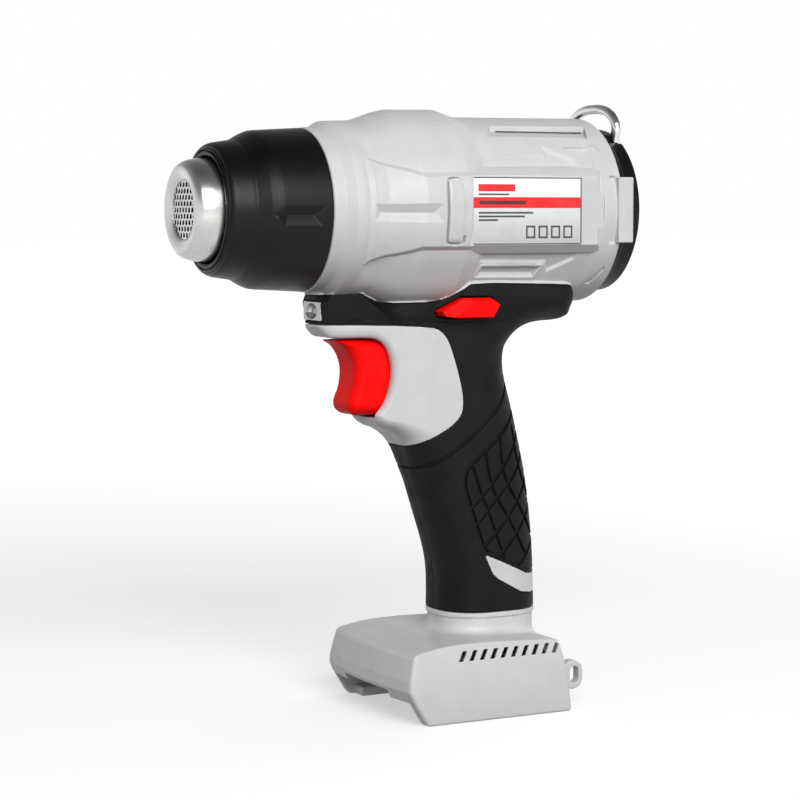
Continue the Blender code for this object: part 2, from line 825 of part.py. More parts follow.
# ---------------------------------------------------------------- nozzle and heater


def build_nozzle():
    finish(turned("collar", COLLAR_SECTION, True), "nozzle_collar", BLACK_NYLON)
    finish(turned("tube", TUBE_SECTION, True), "nozzle_tube", STEEL)
    finish(turned("sleeve", SLEEVE_SECTION, True, 24), "heat_sleeve", MICA)
    grille = rod("grille", GRILLE_RADIUS, 0, GRILLE_Y, 0, 32)
    holes = []
    drilled = (GRILLE_Y[0] - 2.0, GRILLE_Y[1] + 2.0)
    for row in range(-GRILLE_ROWS, GRILLE_ROWS + 1):
        for column in range(-2 * GRILLE_ROWS, 2 * GRILLE_ROWS + 1):
            x = (column + row / 2) * GRILLE_PITCH
            z = row * GRILLE_PITCH * math.sqrt(3) / 2
            if math.hypot(x, z) < GRILLE_REACH:
                name = "grille_hole_%d" % len(holes)
                holes.append(rod(name, GRILLE_HOLE_RADIUS, x, drilled, z, 6))
    finish(freeze(cut(grille, *holes)), "nozzle_grille", STEEL)


def build_heater():
    half = FORMER_HALF_WIDTH
    thin = FORMER_THICKNESS / 2
    former = join(
        box("former_flat", (-half, half), FORMER_Y, (-thin, thin)),
        box("former_upright", (-thin, thin), FORMER_Y, (-half, half)),
    )
    finish(freeze(former), "heater_former", MICA)
    curve = bpy.data.curves.new("coil", "CURVE")
    curve.dimensions = "3D"
    curve.bevel_depth = COIL_WIRE_RADIUS * MM
    curve.bevel_resolution = 1
    curve.use_fill_caps = True
    count = COIL_TURNS * COIL_TURN_POINTS + 1
    spline = curve.splines.new("POLY")
    spline.points.add(count - 1)
    for i, point in enumerate(spline.points):
        angle = 2 * math.pi * i / COIL_TURN_POINTS
        y = COIL_Y[0] + (COIL_Y[1] - COIL_Y[0]) * i / (count - 1)
        point.co = (COIL_RADIUS * math.cos(angle) * MM, y * MM, COIL_RADIUS * math.sin(angle) * MM, 1)
    coil = bpy.data.objects.new("coil", curve)
    CUTTERS.objects.link(coil)
    finish(facing_out(freeze(coil)), "heating_coil", STEEL)
    x, middle, z = FUSE_PLACE
    fuse_y = (middle - FUSE_LENGTH / 2, middle + FUSE_LENGTH / 2)
    finish(rod("fuse", FUSE_RADIUS, x, fuse_y, z, 12), "thermal_fuse", CHROME)


# ---------------------------------------------------------------- blower


def build_blower():
    shaft = rod("shaft", SHAFT_RADIUS, 0, SHAFT_Y, 0, 12)
    finish(shaft, "motor_shaft", STEEL)
    bore = SHAFT_RADIUS + GAP
    motor = turned(
        "motor",
        [
            (SHAFT_Y[1] + GAP, 0.0),
            (SHAFT_Y[1] + GAP, bore),
            (MOTOR_Y[0] - 1.5, bore),
            (MOTOR_Y[0] - 1.5, 4.0),
            (MOTOR_Y[0], 4.0),
            (MOTOR_Y[0], MOTOR_RADIUS - 1.0),
            (MOTOR_Y[0] + 1.0, MOTOR_RADIUS),
            (MOTOR_Y[1] - 1.0, MOTOR_RADIUS),
            (MOTOR_Y[1], MOTOR_RADIUS - 1.0),
            (MOTOR_Y[1], 0.0),
        ],
        False,
        28,
    )
    finish(motor, "motor", STEEL)
    hub_section = [
        (IMPELLER_Y[0], bore),
        (IMPELLER_Y[0], 6.0),
        (IMPELLER_Y[1] - 1.5, 8.0),
        (IMPELLER_Y[1] - 1.5, IMPELLER_RADIUS),
        (IMPELLER_Y[1], IMPELLER_RADIUS),
        (IMPELLER_Y[1], bore),
    ]
    impeller = turned("impeller", hub_section, True, 27)
    thin = BLADE_THICKNESS / 2
    blade_y = (IMPELLER_Y[0] + 1.0, IMPELLER_Y[1] - 0.7)
    blades = []
    for i in range(IMPELLER_BLADES):
        blade = box("blade_%d" % i, (4.5, IMPELLER_RADIUS - 0.5), blade_y, (-thin, thin))
        blade.rotation_euler = (0, 2 * math.pi * i / IMPELLER_BLADES, 0)
        blades.append(freeze(blade))
    finish(freeze(join(impeller, *blades)), "impeller", BLACK_NYLON)
    build_mount()


def band(name, y, radii, steps):
    """A plain ring between two radii."""
    inner, outer = radii
    return turned(name, [(y[0], inner), (y[0], outer), (y[1], outer), (y[1], inner)], True, steps)


def build_mount():
    """The ring that carries the motor's cradle on three arms."""
    inner = MOTOR_RADIUS + GAP
    mount = band("mount", MOUNT_Y, MOUNT_RADII, 32)
    cradle = band("cradle", MOUNT_Y, (inner, inner + MOUNT_RING), 28)
    arms = []
    for i in range(MOUNT_ARMS):
        arm = box("arm_%d" % i, (inner + 1.0, MOUNT_RADII[0] + 0.6), MOUNT_Y, (-1.2, 1.2))
        arm.rotation_euler = (0, math.radians(90) + 2 * math.pi * i / MOUNT_ARMS, 0)
        arms.append(freeze(arm))
    finish(freeze(join(mount, cradle, *arms)), "motor_mount", BLACK_NYLON)


# ---------------------------------------------------------------- controls


def build_controls():
    trigger = plate("trigger", TRIGGER_OUTLINE, (-TRIGGER_HALF_WIDTH, TRIGGER_HALF_WIDTH))
    round_edges(trigger, 1.4, 2)
    finish(freeze(trigger), "trigger", RED_PLASTIC, (0, TRIGGER_BACK, PLUNGER_Z))
    plunger = rod("plunger", PLUNGER_RADIUS, 0, (TRIGGER_BACK + GAP, PLUNGER_REAR), PLUNGER_Z, 16)
    finish(plunger, "switch_plunger", BLACK_NYLON, (0, TRIGGER_BACK, PLUNGER_Z))
    switch = box("switch", (-SWITCH_HALF_WIDTH, SWITCH_HALF_WIDTH), SWITCH_Y, SWITCH_Z)
    bore_end = PLUNGER_REAR + TRIGGER_TRAVEL + 1.0
    bore = rod("switch_bore", PLUNGER_RADIUS + GAP, 0, (SWITCH_Y[0] - 1, bore_end), PLUNGER_Z, 16)
    finish(freeze(cut(switch, bore)), "switch_body", BLACK_NYLON)
    lock = plate("lock", LOCK_OUTLINE, LOCK_X)
    finish(lock, "lock_button", RED_PLASTIC, LOCK_ORIGIN)


def round_edges(obj, width, segments):
    bevel = obj.modifiers.new("round", "BEVEL")
    bevel.width = width * MM
    bevel.segments = segments
    bevel.limit_method = "ANGLE"
    bevel.angle_limit = math.radians(50)
    return obj


def build_light():
    reflector = box("reflector", *REFLECTOR)
    bowl = box("bowl", *REFLECTOR_BOWL)
    stem = rod("lens_hole", LENS_HOLE_RADIUS, 0, (-34.0, -29.0), LENS_Z, 12)
    finish(freeze(cut(reflector, bowl, stem)), "led_reflector", CHROME)
    finish(round_nosed_lens("lens"), "led_lens", CLEAR_LENS)
    finish(box("led_board", *LED_BOARD), "led_board", BOARD_GREEN)


def round_nosed_lens(name):
    """A 3 mm light-emitting diode with a round nose, in the reflector's hole."""
    lens = turned(name, LENS_SECTION, False, 12)
    for vertex in lens.data.vertices:
        vertex.co.z += LENS_Z * MM
    return lens


def build_electrics():
    finish(box("board", *CONTROL_BOARD), "control_board", BOARD_GREEN)
    block = join(box("block", *TERMINAL_BLOCK), box("flange", *TERMINAL_FLANGE))
    half = BLADE_SLOT_HALF_WIDTH
    slots = [
        box("blade_slot_%d" % i, (x - half, x + half), *BLADE_SLOT_YZ)
        for i, x in enumerate(BLADE_CENTRES)
    ]
    finish(freeze(cut(block, *slots)), "terminal_block", BLACK_NYLON)
    for i, x in enumerate(BLADE_CENTRES):
        blade = box("blade", (x - BLADE_HALF_WIDTH, x + BLADE_HALF_WIDTH), *BLADE_YZ)
        finish(blade, "contact_blade_%d" % (i + 1), BRASS)
    label_y = (LABEL_Y[0] + GAP, LABEL_Y[1] - GAP)
    label_z = (LABEL_Z[0] + GAP, LABEL_Z[1] - GAP)
    label = box("label", LABEL_X, label_y, label_z)
    finish(label, "label_plate", LABEL_WHITE)


# ---------------------------------------------------------------- rear cap and hook


def build_rear_cap():
    cap = turned("cap", CAP_SECTION, False)
    rim = [(y, radius - CAP_INSIDE) for y, radius in CAP_SECTION[CAP_SECTION.index(CAP_RIM):-1]]
    rim[-1] = (rim[-1][0] - CAP_INSIDE, rim[-1][1])
    limit = spun_solid("cap_limit", rim)
    ears = []
    for side in (-1, 1):
        ear = box("ear_%d" % side, on_side(side, EAR[0]), *EAR[1:])
        ears.append(freeze(keep(ear, copy_of(limit, "cap_limit_copy"))))
    join(cap, *ears)
    cutters = []
    seat_x = (CLIP_X[0] - GAP, EVERYWHERE)
    seat_y = (CLIP_Y[0] - 1.0, CLIP_Y[1] + GAP)
    seat_z = (-CLIP_HALF_HEIGHT - GAP, CLIP_HALF_HEIGHT + GAP)
    for side in (-1, 1):
        hole_x = on_side(side, HOOK_HOLE_X)
        hole_radius = HOOK_WIRE_RADIUS + GAP
        cutters += [
            box("hook_notch_%d" % side, on_side(side, HOOK_NOTCH[0]), *HOOK_NOTCH[1:]),
            rod("hook_hole_%d" % side, hole_radius, hole_x, HOOK_PIVOT_Y, HOOK_PIVOT_Z),
            box("clip_seat_%d" % side, on_side(side, seat_x), seat_y, seat_z),
        ]
    for i in range(-INTAKE_SLITS, INTAKE_SLITS + 1):
        z = INTAKE_PITCH * i
        half = math.sqrt(INTAKE_RADIUS**2 - z**2) - INTAKE_MARGIN
        if i == INTAKE_SLITS:
            half = INTAKE_TOP_HALF_WIDTH
        slit_z = (z - INTAKE_HALF_HEIGHT, z + INTAKE_HALF_HEIGHT)
        cutters.append(box("intake_%d" % i, (-half, half), INTAKE_Y, slit_z))
    finish(freeze(cut(cap, *cutters)), "rear_cap", BLACK_NYLON)


def hook_path():
    """Centre line of the right half of the bail in (x, z): pin, bend, leg and crown."""
    bend = HOOK_BEND
    corner = HOOK_LEG_X - bend
    points = [(HOOK_PIN_END, HOOK_PIVOT_Z), (corner, HOOK_PIVOT_Z)]
    for step in (1, 2, 3):
        angle = math.radians(30 * step)
        across = corner + bend * math.sin(angle)
        points.append((across, HOOK_PIVOT_Z + bend * (1 - math.cos(angle))))
    points.append((HOOK_LEG_X + HOOK_WAIST[0], HOOK_WAIST[1]))
    crown_height = HOOK_CROWN_Z - HOOK_SHOULDER_Z
    for step in range(HOOK_CROWN_STEPS):
        angle = math.radians(90 * step / HOOK_CROWN_STEPS)
        across = HOOK_HALF_WIDTH * math.cos(angle) ** HOOK_CROWN_FULLNESS
        points.append((across, HOOK_SHOULDER_Z + crown_height * math.sin(angle)))
    points.append((0.0, HOOK_CROWN_Z))
    return points


def build_hook():
    half = hook_path()
    path = half + [(-x, z) for x, z in reversed(half[:-1])]
    curve = bpy.data.curves.new("hook", "CURVE")
    curve.dimensions = "3D"
    curve.bevel_depth = HOOK_WIRE_RADIUS * MM
    curve.bevel_resolution = 2
    curve.use_fill_caps = True
    spline = curve.splines.new("POLY")
    spline.points.add(len(path) - 1)
    for point, (x, z) in zip(spline.points, path):
        point.co = (x * MM, HOOK_PIVOT_Y * MM, z * MM, 1)
    hook = bpy.data.objects.new("hook", curve)
    CUTTERS.objects.link(hook)
    finish(facing_out(freeze(hook)), "hanging_hook", CHROME, (0, HOOK_PIVOT_Y, HOOK_PIVOT_Z))


def build_screws():
    for i, (y, z, head_x) in enumerate(SCREWS):
        shoulder = head_x + SCREW_HEAD_HEIGHT
        screw = join(
            rod("screw", SCREW_HEAD_RADIUS, (head_x, shoulder), y, z, 14),
            rod("screw_shank", SCREW_SHANK_RADIUS, (shoulder - 0.5, SCREW_TIP_X), y, z, 10),
        )
        recess_x = (head_x - RECESS_DEPTH, head_x + RECESS_DEPTH)
        recess_y = (y - RECESS_HALF_LENGTH, y + RECESS_HALF_LENGTH)
        recess_z = (z - RECESS_HALF_WIDTH, z + RECESS_HALF_WIDTH)
        recess = box("screw_recess", recess_x, recess_y, recess_z)
        finish(freeze(cut(screw, recess)), "housing_screw_%d" % (i + 1), STEEL)


build_housing()
build_grip_covers()
build_nozzle()
build_heater()
build_blower()
build_controls()
build_light()
build_electrics()
build_rear_cap()
build_hook()
build_screws()
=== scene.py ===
"""The cordless heat gun's fine surface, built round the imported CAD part.

Every visible shell is a signed distance field in millimetres, measured from the barrel's axis: x to the
user's left, y backwards along the barrel, z up. The field is meshed, its points are pulled onto the surface,
and the mesh is thinned. Outlines are (y, z) points of the side view.
"""

import math

import bpy
import numpy as np
from mathutils import Matrix, Vector


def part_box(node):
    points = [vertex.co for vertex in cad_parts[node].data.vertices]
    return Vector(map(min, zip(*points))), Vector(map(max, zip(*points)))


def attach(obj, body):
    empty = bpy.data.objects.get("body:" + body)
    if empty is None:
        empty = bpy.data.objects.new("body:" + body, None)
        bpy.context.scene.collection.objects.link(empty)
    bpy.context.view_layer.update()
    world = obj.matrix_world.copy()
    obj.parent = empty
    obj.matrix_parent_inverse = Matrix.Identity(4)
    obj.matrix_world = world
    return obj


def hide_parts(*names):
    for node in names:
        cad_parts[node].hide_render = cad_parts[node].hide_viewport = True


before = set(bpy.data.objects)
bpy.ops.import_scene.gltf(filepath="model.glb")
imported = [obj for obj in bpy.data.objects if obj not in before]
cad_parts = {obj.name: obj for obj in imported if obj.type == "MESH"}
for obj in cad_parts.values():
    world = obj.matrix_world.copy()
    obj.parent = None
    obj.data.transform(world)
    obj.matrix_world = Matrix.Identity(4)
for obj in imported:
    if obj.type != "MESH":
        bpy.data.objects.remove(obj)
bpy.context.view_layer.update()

MM = 0.001
TUBE_LOW, TUBE_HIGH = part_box("nozzle_tube")
RIM_Y = -86.3
AXIS_HEIGHT = (TUBE_LOW.z + TUBE_HIGH.z) / 2 / MM
AXIS_SHIFT = TUBE_LOW.y / MM - RIM_Y
COARSER = 1.0

# ---------------------------------------------------------------- barrel

ARC = 34.4  # radius at which the barrel's surface is unrolled
BARREL_END = 74.7
BARREL_PROFILE = [(-60, 29.4), (-40.3, 29.4), (-35.6, 29.6), (-32.0, 31.8), (-20.0, 32.3), (-11.0, 35.4),
                  (-7.0, 36.3), (10.7, 36.6), (19.0, 34.0), (70.0, 34.4), (90.0, 34.4)]
SIDE_DROP = 1.4
BORE = ([-4.0, 6.0], [4.4, 3.4])  # from the barrel's outside to its bore, over y
PANEL = [(-27.3, 22.6), (-7.5, 13.2), (66.5, 14.2), (66.5, -14.2), (-7.5, -14.4), (-27.3, -22.8)]
V_GROOVE = [(-26.0, 2.2), (-1.2, 2.2), (-1.2, -4.2), (-26.0, -4.2)]
TAB = [(1.2, 9.3), (2.2, 10.3), (6.0, 10.3), (7.6, 8.6),
       (7.6, -10.2), (6.8, -11.2), (2.0, -11.2), (1.2, -10.4)]
UPPER_FACET = [(12.5, 16.2), (17.0, 21.3), (45.6, 21.6), (45.6, 26.8), (57.5, 20.2), (58.4, 16.8)]
LOWER_FACET = [(12.5, -16.4), (17.0, -21.3), (45.6, -21.8), (47.6, -26.2), (57.6, -20.2), (58.4, -16.8)]
LOWER_SLOT = [(18.9, -27.6), (20.2, -23.2), (44.2, -23.3), (42.6, -27.8)]
UPPER_SLOT = [(54.0, 26.6), (68.0, 26.7), (69.2, 23.4), (57.0, 23.2)]
REAR_WEDGE = [(66.0, -31.5), (70.6, -22.0), (71.6, -23.4), (68.4, -32.0)]
FACET_DEPTH = 0.9
V_DEPTH = 1.7
TAB_GROOVE = 1.6
LOWER_SLOT_DEPTH = 1.5
UPPER_SLOT_DEPTH = 1.0
WEDGE_DEPTH = 0.9
STRIP_GROOVE = 1.1  # the thin line just in front of the rear clip
REAR_RING_Y = 62.0
LABEL_Y = (12.2, 57.2)
LABEL_Z = (-12.3, 11.6)
LABEL_FLOOR = 32.35
LABEL_X = (LABEL_FLOOR, 33.1)
NOTCH_X = 15.3
NOTCH_FLOOR = 28.3
NOTCH_Y = (28.8, 69.2)
SLIT_Y = (31.0, 68.0)
PAD_X = 33.7
PAD = [(10.4, 14.6), (66.5, 14.6), (66.5, -14.9), (10.4, -14.9)]
PAD_FLAT = 12.5
PAD_BEVEL = 2.3
PAD_ROOT_X = 20.0
CLIP = ((31.2, 34.4), (66.0, 79.0), (-12.0, 12.0))
CLIP_FRONT = 72.6
WIDEST = 36.65

# ---------------------------------------------------------------- band, grip and nose

BODY = [(-36.2, -15.0), (-36.2, -41.0), (-35.2, -43.2), (-32.4, -45.6), (-29.3, -46.1), (-17.1, -45.9),
        (-13.4, -46.9), (-10.5, -50.3), (-8.7, -57.0), (-9.6, -64.5), (-12.4, -70.6), (-15.2, -73.4),
        (-15.3, -75.0), (-14.4, -77.0), (-11.6, -79.0), (-7.8, -80.1), (-3.6, -83.2), (-0.7, -87.6),
        (1.5, -94.5), (3.7, -100.2), (7.7, -112.1), (12.0, -124.7), (13.6, -132.7), (14.0, -140.0),
        (13.9, -149.6), (13.9, -175.0), (53.4, -175.0), (53.4, -149.6), (53.1, -131.8), (52.2, -118.6),
        (50.2, -101.5), (47.3, -87.6), (44.3, -75.8), (41.2, -65.1), (39.4, -57.4), (39.2, -52.5),
        (40.6, -48.0), (43.2, -44.6), (47.4, -42.2), (52.5, -41.2), (58.6, -41.0), (61.4, -40.2),
        (63.0, -38.8), (62.9, -36.0), (63.4, -31.0), (64.4, -26.0), (64.8, -15.0)]
GRIP_WIDTH = [(-175, 17.3), (-149.6, 17.2), (-133, 17.0), (-84, 17.0), (-73, 17.5), (-15, 17.5)]
NOSE_HALF_WIDTH = 7.9
NOSE_Y = -36.2
SIDE_SPREAD = 0.195  # how fast the nose and the trigger surround widen backwards
STRIP_WIDTH = [(-60, 13.4), (-22, 13.4), (-12, 16.4), (6, 17.4), (18, 23.1), (90, 23.1)]
STRIP_DEPTH = 5.3
STRIP_BOTTOM = -40.9
FRONT_ROUNDING = [(-175, 13.5), (-100, 14.0), (-92, 11.5), (-84, 8.5), (-77, 4.5), (-74, 2.2), (-47, 2.2),
                  (-44, 3.2), (-41, 3.6), (-15, 3.6)]
REAR_ROUNDING = [(-175, 14.5), (-60, 15.5), (-50, 14.0), (-44, 10.0), (-40, 7.5), (-15, 7.0)]
TRIM = [(-60.0, -29.4), (-41.0, -29.7), (-38.0, -30.3), (-25.6, -29.0), (-22.8, -29.2),
        (-13.9, -33.1), (6.3, -32.8), (14.2, -28.7), (17.8, -25.9), (57.0, -27.0),
        (61.0, -27.6), (64.5, -29.4), (90.0, -31.0)]
SURROUND = [(-60.0, -40.8), (3.4, -41.7), (10.2, -44.5), (14.2, -55.6), (17.6, -69.5), (15.6, -77.0),
            (1.2, -84.8), (-5.1, -87.2), (-9.0, -87.1), (-30.0, -91.0), (-60.0, -91.0)]
CHEVRON = [(26.6, -126.8), (30.6, -135.2), (43.7, -142.4), (75.0, -142.4), (75.0, -135.6), (46.5, -135.8),
           (34.1, -130.0)]
SKIN = 1.8
UNDER_SKIN = 0.25  # play between the rubber and the grey core
CORE_TOP = -12.0
BEAD_Y = (-38.0, 67.5)
SEAM = 0.3
NOSE_CREASE = [(-22.0, -29.0), (-12.0, -38.3)]
GRIP_BOTTOM = -148.2
PALM_GROOVE = [(44.5, -55.0), (37.1, -65.9), (30.9, -74.0), (20.8, -83.2), (9.4, -90.8), (0.2, -95.4),
               (-8.0, -96.5)]
GRIP_PAD = [(48.0, -66.0), (39.3, -76.3), (32.4, -83.3), (25.9, -89.1), (19.6, -93.9), (18.0, -98.4),
            (18.7, -102.7), (21.6, -111.9), (24.5, -119.7), (27.0, -126.0), (34.0, -129.4), (46.0, -134.8),
            (60.0, -134.8)]
GRIP_PAD_REAR = [(75.0, -134.8), (75.0, -40.0)]
GROOVE_TOP = -50.0
GROOVE_BOTTOM = -151.0
PALM_DEPTH = 0.9
PAD_BORDER_DEPTH = 1.0
PAD_LINE_DEPTH = 1.05
PAD_LINES = [
    [(17.9, -99.5), (20.6, -108.0), (23.1, -115.5), (26.1, -123.8), (29.8, -131.0)],
    [(21.6, -94.5), (25.0, -104.8), (27.3, -109.3), (30.3, -117.2), (36.2, -132.8)],
    [(26.6, -88.8), (28.2, -98.4), (30.7, -105.2), (35.2, -111.8), (44.0, -127.0)],
    [(32.6, -82.4), (33.4, -93.5), (35.6, -100.8), (41.8, -110.0), (50.0, -122.0)],
    [(39.4, -80.0), (41.0, -92.0), (44.5, -101.0), (50.0, -109.0)],
    [(17.5, -112.5), (29.0, -101.5), (36.0, -92.0), (48.0, -76.0)],
    [(19.5, -119.0), (26.2, -112.4), (31.0, -106.4), (38.2, -99.0), (50.0, -84.0)],
    [(22.5, -127.5), (29.4, -120.8), (35.3, -114.6), (40.0, -108.0), (52.0, -93.0)],
    [(27.5, -134.5), (33.8, -127.0), (40.0, -119.6), (52.0, -105.0)],
    [(36.0, -136.0), (43.4, -129.6), (54.0, -118.0)],
]

# ---------------------------------------------------------------- controls, as in the CAD

TRIGGER = [(-5.0, -46.7), (-29.3, -46.6), (-28.2, -47.6), (-26.0, -48.8), (-23.4, -52.0), (-21.9, -56.3),
           (-21.8, -60.0), (-22.6, -64.7), (-24.1, -67.8), (-24.6, -70.0), (-24.0, -72.4), (-22.0, -73.9),
           (-19.0, -74.4), (-5.0, -74.4)]
TRIGGER_HALF_WIDTH = 9.2
TRIGGER_EDGE = 4.2
TRIGGER_POCKET = ((-9.6, 9.6), (-40.0, 2.5), (-75.1, -46.2))
LOCK = [(5.6, -36.5), (14.1, -31.7), (25.0, -31.7), (28.6, -34.2), (25.8, -38.8), (11.5, -38.9), (6.8, -38.1)]
LOCK_WINDOW = [(5.0, -36.6), (13.9, -31.2), (25.3, -31.2), (29.3, -34.2), (26.2, -39.2), (11.4, -39.5),
               (6.4, -38.6)]
LOCK_X = (-19.0, 24.6)
LOCK_RIDGE = (12.0, -37.3)
LED_WINDOW_Y = (-60.0, -27.0)
LED_WINDOW_Z = (-40.0, -32.3)
LED_HALF_WIDTH = 7.4
LED_Z = -36.2
LED_PLATE = ((-7.0, 7.0), (-35.9, -30.4), (-39.7, -32.6))
LED_BOWL = (4.6, 4.3, 2.7)  # half axes of the bowl round the lamp
LED_BOWL_Y = -36.0
LENS_RADIUS = 1.3
LENS_Y = (-34.1, -30.1)

# ---------------------------------------------------------------- foot

SOLE = -AXIS_HEIGHT
FOOT_SIDE = [(-40.0, -159.4), (-11.0, -158.9), (-8.0, -158.0), (-1.5, -156.9), (4.0, -156.3),
             (15.0, -156.0), (29.0, -156.4), (45.0, -157.2), (49.2, -157.9), (50.9, -164.3),
             (52.8, -176.9), (53.9, -183.6), (53.0, SOLE), (-40.0, SOLE)]
FOOT_HALF_WIDTH = 34.6
FOOT_WIDEST_Z = -176.0
FOOT_TUMBLE = 0.0068  # how fast the foot narrows above and below that
FOOT_REACH = -140.0  # above this the foot's field is left out
FOOT_FRONT = [(SOLE, -6.0), (-182.0, -7.6), (-175.0, -11.8), (-171.8, -13.2), (-168.0, -12.9),
              (-158.5, -10.6), (-150.0, -8.6)]
FOOT_BOW = 2.4
SLOT_HALF_WIDTH = 30.5
SLOT_ROOF = -176.0
SLOT_REAR = 47.0
RAIL_HALF_WIDTH = 24.0
RAIL_TOP = -181.0
RAIL_FRONT = -4.0
FLOOR_TOP = -173.5
WALL = 2.4
NECK_HALF_WIDTH = 17.3
NECK_ROUNDING = 13.8
THROAT = ((-14.0, 14.0), (16.5, 50.0), (-170.0, -140.0))
CABLE_WAY = ((-11, 11), (10, 38), (-181, -170))
FRONT_GROOVE = ((-18.0, 18.0), (-30.0, 6.0), (-180.0, -173.0))
FRONT_GROOVE_DEPTH = 5.0
THINNED = ((24.0, 40.0), (5.0, 49.0), (-163.2, -157.0))  # the wall behind the vents
THIN_WALL = 0.8
VENTS = [8.1 + 4.3 * i for i in range(10)]
VENT_Z = -160.4
VENT_SLANT = 0.55
EYE = (57.0, -171.8)
EYE_X = 28.65
EYE_HALF_THICKNESS = 2.15
EYE_OUTER = 4.2
EYE_HOLE = 1.8
INNER_X = 24.0  # vents and eye cut nothing nearer to the middle

# Clamshell screws: (y, z, x of the head's face)
SCREWS = [(-22.0, 25.5, -15.0), (62.0, 27.5, -16.5), (-26.0, -26.5, -14.0), (62.0, -27.5, -16.5),
          (37.0, -77.0, -11.0), (30.0, -138.0, -13.5), (44.5, -166.3, -28.5), (-4.5, -166.3, -28.5)]
SCREW_HEAD = 2.8
SCREW_SEAT = 2.3  # from the head's face down to its seat
SCREW_SHANK = 1.5
SCREW_TIP_X = 8.5
HEAD_HEIGHT = 2.0
CROSS = (0.42, 1.5, 1.1)  # the recess's half width, half length and depth
THREAD_PITCH = 1.1
THREAD_DEPTH = 0.22

# ---------------------------------------------------------------- turned pieces: (y, radius)

COLLAR_PROFILE = [(-90, 22.9), (-76.9, 23.2), (-68.2, 24.5), (-66.9, 24.6), (-62.6, 27.0), (-60.4, 27.9),
                  (-58.6, 28.15), (-40.3, 29.25), (-30, 29.3)]
COLLAR_FRONT = -76.9
COLLAR_REAR = -40.3
COLLAR_ARC = 28.0
COLLAR_RINGS = (20.9, 22.2)
COLLAR_BORE = ([-66.0, -60.0], [19.0, 24.2])
COLLAR_GROOVE = [(-58.2, 1.4), (-43.6, 1.4), (-44.4, -5.4), (-58.4, -5.4), (-62.2, -1.9)]
GRILLE_Y = -84.2
GRILLE_RADIUS = 11.6
GRILLE_PITCH = (2.7, 2.2)
GRILLE_HOLE = 0.86
GRILLE_RIM = 1.4
GRILLE_DOME = 0.5
GRILLE_HALF_SHEET = 0.32
TUBE = [(-86.25, 13.4), (-86.25, 14.9), (-85.5, 16.2), (-84.2, 17.1), (-82.4, 17.7), (-80.2, 18.05),
        (-78.0, 18.1), (-10.0, 18.1), (-10.0, 17.5), (-78.6, 17.4), (-82.4, 16.9), (-84.2, 16.1),
        (-85.2, 14.7), (-84.9, 12.6), (-84.5, 10.4), (-84.9, 10.2), (-85.5, 11.2)]
CAP_TOP = ([0, 24.0, 26.2, 27.8, 29.4, 30.6, 31.3], [85.3, 85.3, 84.6, 83.2, 81.0, 78.5, 75.5])
CAP_RADIUS = 31.3
CAP_SPIGOT = (30.5, 67.0, 84.0)  # radius, front and rear of the part that enters the barrel
CAP_CAVITY = (28.2, 82.9)  # radius and rear end
CAP_EAR = ((9.5, 20.5), (76.0, 84.9), (13.6, 30.0))
CAP_PIN_X = (10.5, 2.6)  # middle and half length of each pin hole
CAP_EAR_SLOT = ((12.2, 17.6), (79.4, 120.0), (17.2, 70.0))
CAP_CLIP_GAP = ((31.0, 60.0), (60.0, 79.4), (-12.4, 12.4))
INTAKE_PITCH = 5.0
INTAKE_RADIUS = 22.0
INTAKE_HALF_HEIGHT = 1.1

# ---------------------------------------------------------------- hook

HOOK_Y = 82.6
HOOK_Z = 21.0
HOOK_WIRE = 1.9
HOOK_PIN_X = 8.6
HOOK_LEG_X = 14.5
HOOK_BEND = 2.3
HOOK_CROWN = (16.4, 8.0, 30.0)  # half width, rise and foot of the bow


# ---------------------------------------------------------------- fields


def soft_min(a, b, radius):
    """The union of two fields with a fillet between them."""
    blend = np.maximum(radius - np.abs(a - b), 0.0)
    return np.minimum(a, b) - blend * blend / (4.0 * radius)


def soft_max(a, b, radius):
    """The intersection of two fields with a rounded edge."""
    blend = np.maximum(radius - np.abs(a - b), 0.0)
    return np.maximum(a, b) + blend * blend / (4.0 * radius)


def ramp(value, start, end):
    """0 before start, 1 after end, and smooth between them."""
    t = np.clip((value - start) / (end - start), 0.0, 1.0)
    return t * t * (3.0 - 2.0 * t)


def along(value, table):
    """A quantity given at a few places, read at the others."""
    places = [p for p, _ in table]
    amounts = [a for _, a in table]
    return np.interp(value, places, amounts).astype(np.float32)


def outline(y, z, points):
    """Signed distance to a closed outline, negative inside it."""
    inside = False
    for (ay, az), (by, bz) in zip(points, points[1:] + points[:1]):
        if az != bz:
            left_of_edge = y - ay < (z - az) * ((by - ay) / (bz - az))
            inside = inside ^ (((az <= z) != (bz <= z)) & left_of_edge)
    return np.where(inside, -1.0, 1.0) * line_gap(y, z, points + points[:1])


def line_gap(y, z, points):
    """Distance to an open line."""
    nearest = None
    for (ay, az), (by, bz) in zip(points, points[1:]):
        ey, ez = by - ay, bz - az
        wy, wz = y - ay, z - az
        t = np.clip((wy * ey + wz * ez) / (ey * ey + ez * ez), 0.0, 1.0)
        gap = (wy - ey * t) ** 2 + (wz - ez * t) ** 2
        nearest = gap if nearest is None else np.minimum(nearest, gap)
    return np.sqrt(nearest)


def eased(points, passes=2, closed=True, share=0.25):
    """The outline with its corners cut, again and again, until it curves."""
    for _ in range(passes):
        ends = points[1:] + points[:1] if closed else points[1:]
        result = [] if closed else [points[0]]
        for (ay, az), (by, bz) in zip(points, ends):
            result.append((ay + (by - ay) * share, az + (bz - az) * share))
            result.append((by - (by - ay) * share, bz - (bz - az) * share))
        points = result if closed else result + [points[-1]]
    return points


